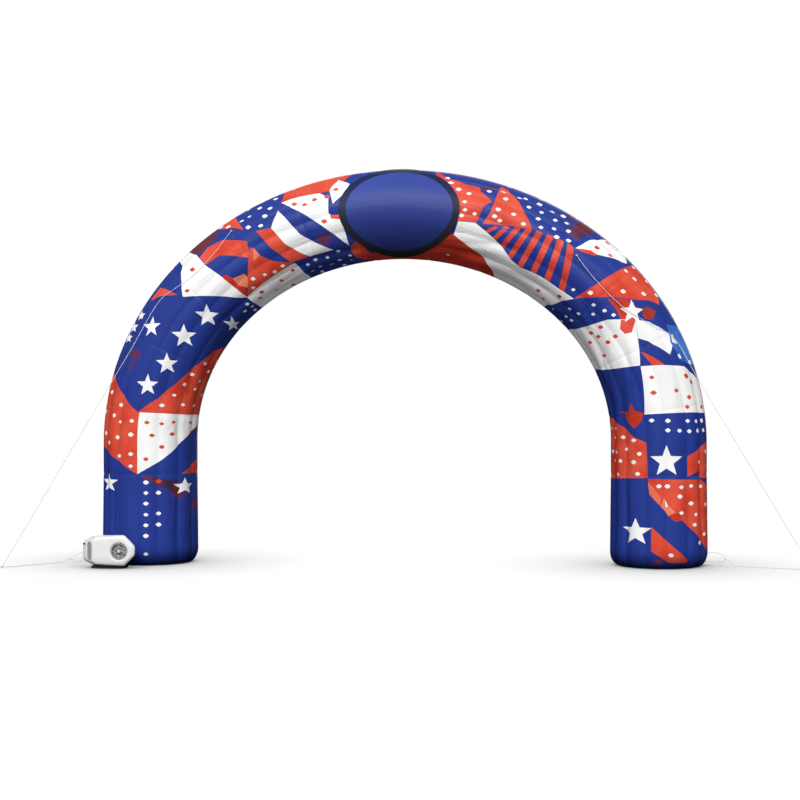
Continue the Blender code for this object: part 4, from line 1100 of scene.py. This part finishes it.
def oval_mesh(name, shares, turns, lift, finish, filled):
    """A sheet over rings of the oval, from the inmost share of its size to the outmost."""
    reach = math.sin(math.radians(PANEL_REACH))
    middle = TUBE_LENGTH / 2
    angles = np.array(full_turn(turns))
    along = np.concatenate([middle + PANEL_HALF_WIDTH * share * np.cos(angles) for share in shares])
    around = np.concatenate([np.degrees(np.arcsin(reach * share * np.sin(angles))) for share in shares])
    rings = len(shares)
    layers = [on_tube(along, around, lift + off, plain=True) for off in (0.0, PANEL_THICK)]
    points = np.concatenate(layers)
    top = rings * turns
    faces = []
    for i in range(rings - 1):
        for j in range(turns):
            k = (j + 1) % turns
            a, b, c, d = i * turns + j, (i + 1) * turns + j, (i + 1) * turns + k, i * turns + k
            faces += [(top + a, top + b, top + c, top + d), (d, c, b, a)]
    rims = [rings - 1] if filled else [0, rings - 1]
    for i in rims:
        for j in range(turns):
            k = (j + 1) % turns
            faces.append((i * turns + j, i * turns + k, top + i * turns + k, top + i * turns + j))
    if filled:
        faces += [tuple(top + j for j in range(turns)), tuple(reversed(range(turns)))]
    obj = mesh_from(name, points, faces, finish)
    flat_places = np.stack([along, np.radians(around) * MEAN_RADIUS], axis=1)
    set_map(obj.data, np.concatenate([flat_places, flat_places]))
    face_outward(obj.data)
    obj.data.set_sharp_from_angle(angle=math.radians(50))
    return obj


def make_panel():
    edge = PANEL_SHARE - PANEL_EDGE_GAP / PANEL_HALF_WIDTH
    shares = np.linspace(PANEL_MIDDLE, edge, PANEL_RINGS)
    # The panel darkens towards its lower edge: a painted shade.
    finish = cloth_material("panel_satin", ROYAL_BLUE, 0.46, 0.16, seams=False, lines=False, painted_shade_colour=PANEL_PAINTED_SHADE_BLUE)
    panel = oval_mesh("oval_panel_cloth", shares, PANEL_TURNS, PANEL_LIFT, finish, filled=True)
    stand_in(panel, "oval_panel")


def make_border():
    shares = np.linspace(PANEL_SHARE, 1.0, BORDER_RINGS)
    # The border darkens to near black towards its lower edge: a painted shade.
    finish = cloth_material("border_satin", BORDER_BLUE, 0.50, 0.14, seams=False, lines=False, painted_shade_colour=TRAY_BLACK)
    border = oval_mesh("oval_border_cloth", shares, BORDER_TURNS, BORDER_LIFT, finish, filled=False)
    stand_in(border, "oval_border")


# Ropes, knots and tabs -------------------------------------------------


def smooth_route(marks, count):
    """Evenly spaced points on a smooth curve through the marks."""
    marks = [Vector(m) for m in marks]
    ends = [2 * marks[0] - marks[1]] + marks + [2 * marks[-1] - marks[-2]]
    dense = []
    for i in range(1, len(ends) - 2):
        a, b, c, d = ends[i - 1 : i + 3]
        knots = [0.0]
        for first, second in ((a, b), (b, c), (c, d)):
            knots.append(knots[-1] + math.sqrt((second - first).length))
        for t in np.linspace(knots[1], knots[2], 24, endpoint=False):
            ab = a.lerp(b, (t - knots[0]) / (knots[1] - knots[0]))
            bc = b.lerp(c, (t - knots[1]) / (knots[2] - knots[1]))
            cd = c.lerp(d, (t - knots[2]) / (knots[3] - knots[2]))
            abc = ab.lerp(bc, (t - knots[0]) / (knots[2] - knots[0]))
            bcd = bc.lerp(cd, (t - knots[1]) / (knots[3] - knots[1]))
            dense.append(abc.lerp(bcd, (t - knots[1]) / (knots[2] - knots[1])))
    dense.append(marks[-1])
    path = np.array(dense)
    length = np.concatenate([[0.0], np.cumsum(np.linalg.norm(np.diff(path, axis=0), axis=1))])
    spots = np.linspace(0.0, length[-1], count)
    return [Vector([float(np.interp(s, length, path[:, k])) for k in range(3)]) for s in spots]


def make_rope(name, points, radius, finish, node):
    curve = bpy.data.curves.new(name, "CURVE")
    curve.dimensions = "3D"
    curve.bevel_depth = radius
    curve.bevel_resolution = 4
    curve.use_fill_caps = True
    spline = curve.splines.new("POLY")
    spline.points.add(len(points) - 1)
    for spot, point in zip(spline.points, points):
        spot.co = (*point, 1.0)
    spline.use_smooth = True
    rope = add_object(name, curve, finish)
    stand_in(rope, node)
    return rope


def beside(ball, radius, towards):
    ball = Vector(ball)
    return ball + (Vector(towards) - ball).normalized() * (radius + GAP)


def add_loop(points, faces, path, radius, sides=8):
    """Adds a closed loop of rope along a path to a mesh's points and faces."""
    first, count = len(points), len(path)
    for i, spot in enumerate(path):
        ahead = (path[(i + 1) % count] - path[i - 1]).normalized()
        side = ahead.cross(Vector((0.31, 0.22, 0.92))).normalized()
        up = side.cross(ahead)
        points += [spot + (side * math.cos(t) + up * math.sin(t)) * radius for t in full_turn(sides)]
    for i in range(count):
        here, there = (first + k * sides for k in (i, (i + 1) % count))
        faces += [(here + j, there + j, there + (j + 1) % sides, here + (j + 1) % sides) for j in range(sides)]


def make_knot(name, centre, radius, strand, finish, node, loop=None):
    """A pulled-tight knot: one rope wound through itself, inside a ball's room, and perhaps a peg's loop."""
    big, small = (share * (radius - strand) for share in KNOT_SHARES)
    points, faces, path = [], [], []
    for turn in full_turn(KNOT_POINTS):
        reach = big + small * math.cos(3.0 * turn)
        place = (reach * math.cos(2.0 * turn), reach * math.sin(2.0 * turn), KNOT_DEPTH * small * math.sin(3.0 * turn))
        path.append(centre + Vector(place))
    add_loop(points, faces, path, strand)
    if loop is not None:
        ring = [loop + LOOP_RADIUS * Vector((math.cos(t), math.sin(t), 0.0)) for t in full_turn(LOOP_POINTS)]
        add_loop(points, faces, ring, TETHER_RADIUS)
    knot = mesh_from(name, points, faces, finish)
    face_outward(knot.data)
    stand_in(knot, node)
    return knot


def make_guy(guy, finish):
    """The guy rope, its knot at the tab and its ground knot."""
    knot_centre = place_on_tube(guy.route[0], TAB_THICK + GAP + GUY_KNOT_RADIUS)
    marks = [place_on_tube(place, GUY_RADIUS + ROPE_LIFT) for place in guy.route[1:]]
    ground = Vector((*guy.anchor, ANCHOR_KNOT_RADIUS))
    leave = marks[-1]
    marks += [leave.lerp(ground, share) for share in (0.2, 0.4, 0.6, 0.8)]
    start = beside(knot_centre, GUY_KNOT_RADIUS, marks[0])
    end = beside(ground, ANCHOR_KNOT_RADIUS, leave)
    points = smooth_route([start] + marks + [end], GUY_POINTS)
    rope = make_rope(f"guy_{guy.side}", points, GUY_RADIUS, finish, f"guy_rope_{guy.side}")
    tab_knot = make_knot(
        f"tab_knot_{guy.side}", knot_centre, GUY_KNOT_RADIUS, GUY_STRAND, finish, f"guy_knot_{guy.side}"
    )
    away = Vector((guy.anchor[0], guy.anchor[1] - PLANE_Y, 0.0)).normalized()
    loop = Vector((ground.x, ground.y, TETHER_RADIUS + GAP)) + away * (LOOP_RADIUS + LOOP_BITE)
    ground_knot = make_knot(
        f"peg_knot_{guy.side}", ground, ANCHOR_KNOT_RADIUS, ANCHOR_STRAND, finish, f"anchor_knot_{guy.side}", loop
    )


def make_tether(tether, guy, finish):
    """The base line from the ground knot to its fork, and the fork's two arms to the tabs."""
    rest = TETHER_RADIUS + GAP
    fork = Vector(tether.fork)
    ground = [Vector((x, y, rest)) for x, y in tether.line]
    knot = Vector((*guy.anchor, ANCHOR_KNOT_RADIUS))
    start = beside(knot, ANCHOR_KNOT_RADIUS, ground[0])
    marks = [start] + ground + [beside(fork, BRIDLE_KNOT_RADIUS, ground[-1])]
    points = [Vector((p.x, p.y, max(p.z, rest))) for p in smooth_route(marks, LINE_POINTS)]
    line = make_rope(f"base_line_{tether.side}", points, TETHER_RADIUS, finish, f"tether_line_{tether.side}")
    fork_knot = make_knot(
        f"fork_knot_{tether.side}", fork, BRIDLE_KNOT_RADIUS, BRIDLE_STRAND, finish, f"bridle_knot_{tether.side}"
    )
    for level, way in (("upper", tether.upper), ("lower", tether.lower)):
        way = [Vector(spot) for spot in way]
        tip = base_tab_tip(tether.sign, level)
        approach = [tip + Vector((tether.sign * off, 0.0, 0.0)) for off in ARM_APPROACH]
        marks = [beside(fork, BRIDLE_KNOT_RADIUS, way[0])] + way + approach
        points = smooth_route(marks, ARM_POINTS)
        node = f"tether_arm_{level}_{tether.side}"
        arm = make_rope(f"base_arm_{level}_{tether.side}", points, TETHER_RADIUS, finish, node)


def base_tab_tip(sign, level):
    return Vector((sign * (HALF_SPAN + LEG_RADIUS + BASE_TAB_REACH), PLANE_Y, BASE_TAB_HEIGHTS[level]))


def slab(name, top, bottom, maps, finish):
    """A closed sheet between two grids of points, each an array of rows and columns."""
    rows, columns = top.shape[:2]
    points = np.concatenate([top.reshape(-1, 3), bottom.reshape(-1, 3)])
    under = rows * columns
    faces = []
    for i in range(rows - 1):
        for j in range(columns - 1):
            a, b, c, d = i * columns + j, (i + 1) * columns + j, (i + 1) * columns + j + 1, i * columns + j + 1
            faces += [(a, b, c, d), (under + d, under + c, under + b, under + a)]
    rim = list(range(columns)) + [i * columns + columns - 1 for i in range(1, rows)]
    rim += [(rows - 1) * columns + j for j in range(columns - 2, -1, -1)]
    rim += [i * columns for i in range(rows - 2, 0, -1)]
    for a, b in zip(rim, rim[1:] + rim[:1]):
        faces.append((a, b, under + b, under + a))
    piece = mesh_from(name, points, faces, finish)
    set_map(piece.data, np.concatenate([maps.reshape(-1, 2)] * 2))
    face_outward(piece.data)
    return piece


# A guy tab's height over the cloth, from its middle out to its doubled hem and its rim.
Rise = namedtuple("Rise", "share lift")
TAB_PROFILE = (
    Rise(0.0, 0.0028),
    Rise(0.3, 0.0029),
    Rise(0.62, 0.0030),
    Rise(0.74, 0.0038),
    Rise(0.86, 0.0040),
    Rise(0.97, 0.0034),
    Rise(1.0, 0.0004),
)
TAB_SUNK = 0.0030
TAB_RIM = 0.98
# How far its corners are drawn in.
TAB_PULL = 0.10


def make_guy_tab(guy, finish):
    """A webbing patch that follows the cloth, with a doubled hem round it."""
    half = np.array(TAB_PROFILE)
    shares = np.concatenate([-half[:0:-1, 0], half[:, 0]])
    lifts = np.concatenate([half[:0:-1, 1], half[:, 1]])
    along, around = guy.route[0]
    half_turn = math.degrees(TAB_WIDTH / 2 / MEAN_RADIUS)
    u, v = np.meshgrid(shares, shares, indexing="ij")
    pull = 1.0 - TAB_PULL * u * u * v * v
    places = along + TAB_LENGTH / 2 * u * pull
    turns = around + half_turn * v * pull
    lift = np.minimum(lifts[:, None], lifts[None, :])
    rim = np.maximum(abs(u), abs(v)) > TAB_RIM
    lift = np.maximum(lift, np.where(rim, TAB_PROFILE[-1].lift, TAB_PROFILE[0].lift))
    top = on_tube(places, turns, lift)
    bottom = on_tube(places, turns, -TAB_SUNK)
    maps = np.stack([places, np.radians(turns) * MEAN_RADIUS], axis=-1)
    tab = slab(f"guy_tape_{guy.side}", top, bottom, maps, finish)
    stand_in(tab, f"guy_tab_{guy.side}")


def make_base_tab(tether, level, finish):
    """A short tape out of the leg, drawn together towards the eye that the rope is tied into."""
    tip = base_tab_tip(tether.sign, level)
    root = LEG_RADIUS - BASE_TAB_ROOT
    steps = np.linspace(0.0, 1.0, 15)
    across = np.linspace(-1.0, 1.0, 9)
    s, c = np.meshgrid(steps, across, indexing="ij")
    x = tether.sign * (HALF_SPAN + root + (LEG_RADIUS + BASE_TAB_REACH - root) * s)
    narrowed = 1.0 - BASE_TAB_NARROWING * np.clip((s - 0.5) / 0.5, 0.0, 1.0) ** 2
    end = s > 0.999
    y = PLANE_Y + BASE_TAB_WIDTH / 2 * narrowed * c * np.where(end, 0.92, 1.0)
    eye = BASE_TAB_THIN + (1.0 - BASE_TAB_THIN) * np.clip((s - 0.62) / 0.2, 0.0, 1.0)
    half = BASE_TAB_THICK / 2 * eye * (1.0 - 0.4 * c**6) * np.where(end, 0.4, 1.0)
    droop = 0.0006 * np.sin(2.0 * math.pi * s) * (1.0 - c * c)
    top = np.stack([x, y, tip.z + half + droop], axis=-1)
    bottom = np.stack([x, y, tip.z - half + droop], axis=-1)
    tab = slab(f"base_tape_{level}_{tether.side}", top, bottom, np.stack([x, y], axis=-1), finish)
    stand_in(tab, f"base_tab_{level}_{tether.side}")


# Blower and its sleeve -------------------------------------------------

SLEEVE_START = 0.010
SLEEVE_POINTS = 112
# Its gathers: how high, how deep along the sleeve their middle lies, and how far they reach from there.
GATHERS_HIGH, GATHERS_AT, GATHERS_REACH = 0.0016, 0.016, 0.022
SLEEVE_SWELL = 0.0005
# Its rings, from the gathered hem to the leg.
Ring = namedtuple("Ring", "depth radius")
SLEEVE_RINGS = (
    Ring(0.0, 0.0668),
    Ring(0.0, 0.0712),
    Ring(0.004, 0.0726),
    Ring(0.010, 0.0700),
    Ring(0.017, 0.0712),
    Ring(0.024, 0.0738),
    Ring(0.032, 0.0756),
    Ring(0.042, 0.0768),
    Ring(0.055, 0.0772),
    Ring(0.070, 0.0768),
    Ring(0.090, 0.0764),
    Ring(0.115, 0.0770),
    Ring(0.145, 0.0774),
)


def make_sleeve():
    """The blown-up fabric sleeve: gathered on the outlet's spigot, and sewn into the leg."""
    start = CASE_BACK + GAP + SLEEVE_START
    turns = np.array(full_turn(SLEEVE_POINTS))
    count = len(turns)
    rows, faces = [], []
    for depth, radius in SLEEVE_RINGS:
        gathers = GATHERS_HIGH * math.exp(-(((depth - GATHERS_AT) / GATHERS_REACH) ** 2))
        ripple = gathers * (np.sin(23 * turns + 1.3) + 0.6 * np.sin(14 * turns))
        swell = SLEEVE_SWELL * np.sin(5 * turns + 40 * depth)
        reach = np.minimum(radius + ripple + swell, SLEEVE_RADIUS)
        ring = (OUTLET_X + reach * np.cos(turns), np.full(count, start + depth), OUTLET_Z + reach * np.sin(turns))
        rows.append(np.stack(ring, axis=1))
    for i in range(len(rows) - 1):
        here, there = i * count, (i + 1) * count
        faces += [(here + j, here + (j + 1) % count, there + (j + 1) % count, there + j) for j in range(count)]
    faces.append(tuple(reversed([(len(rows) - 1) * count + j for j in range(count)])))
    finish = cloth_material("sleeve_satin", COLOURS["navy"], seams=False)
    sleeve = mesh_from("air_sleeve_cloth", np.concatenate(rows), faces, finish)
    maps = [np.stack([np.full(count, ring.depth), turns * SLEEVE_RADIUS], axis=1) for ring in SLEEVE_RINGS]
    set_map(sleeve.data, np.concatenate(maps))
    stand_in(sleeve, "air_sleeve")


# How finely each moulded piece is meshed again, and how often it is smoothed.
Moulding = namedtuple("Moulding", "node body voxel passes finish slot")
MOULDINGS = (
    Moulding("blower_housing", "structure", 0.0050, 60, "case", "case_plastic"),
    Moulding("blower_base", "structure", 0.0040, 4, "tray", "tray_plastic"),
    Moulding("intake_guard", "structure", 0.0014, 3, "guard", "grille_plastic"),
    Moulding("fan_impeller", "impeller", 0.0012, 3, "fan", "grille_plastic"),
    Moulding("side_vent", "structure", 0.0014, 3, "grille", "grille_plastic"),
    Moulding("power_switch", "structure", 0.0008, 3, "tray", "tray_plastic"),
    Moulding("cable_inlet", "structure", 0.0010, 3, "tray", "tray_plastic"),
    Moulding("outlet_collar", "structure", 0.0020, 3, "grille", "grille_plastic"),
)


def make_moulding(moulding, finish):
    """A moulded piece with rounded edges: the node's form, meshed again in even faces that are then smoothed."""
    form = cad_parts[moulding.node].data.copy()
    form.name = f"{moulding.node}_moulded"
    form.materials.clear()
    form.materials.append(finish)
    piece = bpy.data.objects.new(form.name, form)
    bpy.context.scene.collection.objects.link(piece)
    weld = piece.modifiers.new("weld", "WELD")
    weld.merge_threshold = WELD
    again = piece.modifiers.new("even_faces", "REMESH")
    again.mode = "VOXEL"
    again.voxel_size = moulding.voxel
    again.use_smooth_shade = True
    smooth = piece.modifiers.new("soft_edges", "SMOOTH")
    smooth.factor = 0.5
    smooth.iterations = moulding.passes
    stand_in(piece, moulding.node, moulding.body)


def make_blower():
    case = plastic_material("case_shell", CASE_WHITE, 0.38)
    guard = plastic_material("guard_shell", GRILLE_GREY, 0.45)
    finishes = {
        # The case carries dark parting lines and a painted shade on its lower edge.
        "case": laid_over(case, lines_and_painted_shade, scaled(CASE_WHITE, 0.45)),
        "tray": plastic_material("tray_shell", TRAY_BLACK, 0.55),
        "grille": plastic_material("grille_shell", GRILLE_GREY, 0.50),
        # The guard's pale middle is a painted highlight.
        "guard": laid_over(guard, painted_hub_highlight, scaled(CASE_WHITE, 0.7)),
        "fan": plastic_material("fan_shell", scaled(GRILLE_GREY, 1.3), 0.45),
    }
    for moulding in MOULDINGS:
        make_moulding(moulding, finishes[moulding.finish])
    make_sleeve()


# Studio ----------------------------------------------------------------


def make_camera():
    data = bpy.data.cameras.new("photo_camera")
    data.lens = CAMERA_LENS
    data.sensor_width = CAMERA_SENSOR
    data.clip_end = CAMERA_SIGHT
    camera = bpy.data.objects.new("photo_camera", data)
    camera.location = CAMERA_PLACE
    camera.rotation_euler = (math.radians(90.0), 0.0, math.radians(CAMERA_TURN))
    bpy.context.scene.collection.objects.link(camera)
    bpy.context.scene.camera = camera


def make_floor():
    """A pale floor that glows evenly for the camera, so that it shows only a soft painted shade close to the feet.

    It throws less light back up than it shows, like a floor in a far larger white room.
    """
    corners = [(FLOOR_REACH * x, FLOOR_REACH * y, 0) for x, y in ((-1, -1), (1, -1), (1, 1), (-1, 1))]
    floor = mesh_from("floor", corners, [(0, 1, 2, 3)])
    made, tree, shader = new_material("floor_white", (0.9, 0.9, 0.9, 1.0), 0.8)
    floor.data.materials.append(made)
    path = add_node(tree, "ShaderNodeLightPath").outputs
    # Painted shade: an ambient-occlusion node darkens the floor's glow close to the feet.
    shade = add_node(tree, "ShaderNodeAmbientOcclusion", {"Distance": SHADE_REACH}, samples=16).outputs["AO"]
    level = maths(tree, "MULTIPLY", maths(tree, "POWER", shade, SHADE_DEPTH), FLOOR_GLOW)
    feed(tree, shader.inputs["Base Color"], maths(tree, "MULTIPLY", path["Is Diffuse Ray"], FLOOR_BOUNCE))
    feed(tree, shader.inputs["Emission Strength"], maths(tree, "MULTIPLY", path["Is Camera Ray"], level))
    shader.inputs["Specular IOR Level"].default_value = 0.0
    shader.inputs["Emission Color"].default_value = (1.0, 1.0, 1.0, 1.0)
    floor.location.z = -FLOOR_DROP
    return floor


def make_sun(name, towards, angle, strength):
    """A broad, soft light from far off, which shines along a direction."""
    data = bpy.data.lights.new(name, "SUN")
    data.angle = math.radians(angle)
    data.energy = strength
    light = bpy.data.objects.new(name, data)
    light.rotation_euler = Vector(towards).to_track_quat("-Z", "Y").to_euler()
    light.location = (0.0, 0.0, 8.0)
    bpy.context.scene.collection.objects.link(light)
    return light


def spare(light, piece):
    """Keeps a light off one piece."""
    lit = bpy.data.collections.new(light.name + "_lit")
    lit.objects.link(piece)
    light.light_linking.receiver_collection = lit
    for member in lit.collection_objects:
        member.light_linking.link_state = "EXCLUDE"


def make_world():
    """White behind the object; for its light, a room that is bright on one side and dim on the other."""
    world = bpy.data.worlds.new("studio")
    bpy.context.scene.world = world
    world.use_nodes = True
    tree = world.node_tree
    backdrop = tree.nodes["Background"]
    backdrop.inputs["Color"].default_value = (1.0, 1.0, 1.0, 1.0)
    backdrop.inputs["Strength"].default_value = 1.0
    place = add_node(tree, "ShaderNodeTexCoord").outputs["Generated"]
    facing = vector_maths(tree, "DOT_PRODUCT", place, Vector(ROOM_BRIGHT_SIDE).normalized())
    level = ranged(tree, facing, ROOM_DIM_FROM, ROOM_BRIGHT_FROM, ROOM_LOW, ROOM_HIGH)
    room = add_node(tree, "ShaderNodeBackground", {"Strength": level})
    seen = add_node(tree, "ShaderNodeLightPath").outputs["Is Camera Ray"]
    blend = add_node(tree, "ShaderNodeMixShader")
    for socket, value in zip(blend.inputs, (seen, room.outputs["Background"], backdrop.outputs["Background"])):
        feed(tree, socket, value)
    feed(tree, tree.nodes["World Output"].inputs["Surface"], blend.outputs[0])


def make_studio():
    bpy.context.scene.view_settings.view_transform = "Standard"
    make_world()
    floor = make_floor()
    spare(make_sun("key", KEY_TOWARDS, KEY_ANGLE, KEY_STRENGTH), floor)
    spare(make_sun("back", BACK_TOWARDS, BACK_ANGLE, BACK_STRENGTH), floor)


def main():
    make_camera()
    rope = rope_material("braided_rope", ROPE_WHITE)
    webbing = webbing_material("blue_webbing", WEBBING_BLUE)
    tape = webbing_material("white_tape", TAPE_WHITE)
    for guy, tether in zip(GUYS, TETHERS):
        make_guy(guy, rope)
        make_tether(tether, guy, rope)
        make_guy_tab(guy, webbing)
        for level in BASE_TAB_HEIGHTS:
            make_base_tab(tether, level, tape)
    make_arch()
    make_panel()
    make_border()
    make_blower()
    make_studio()


main()
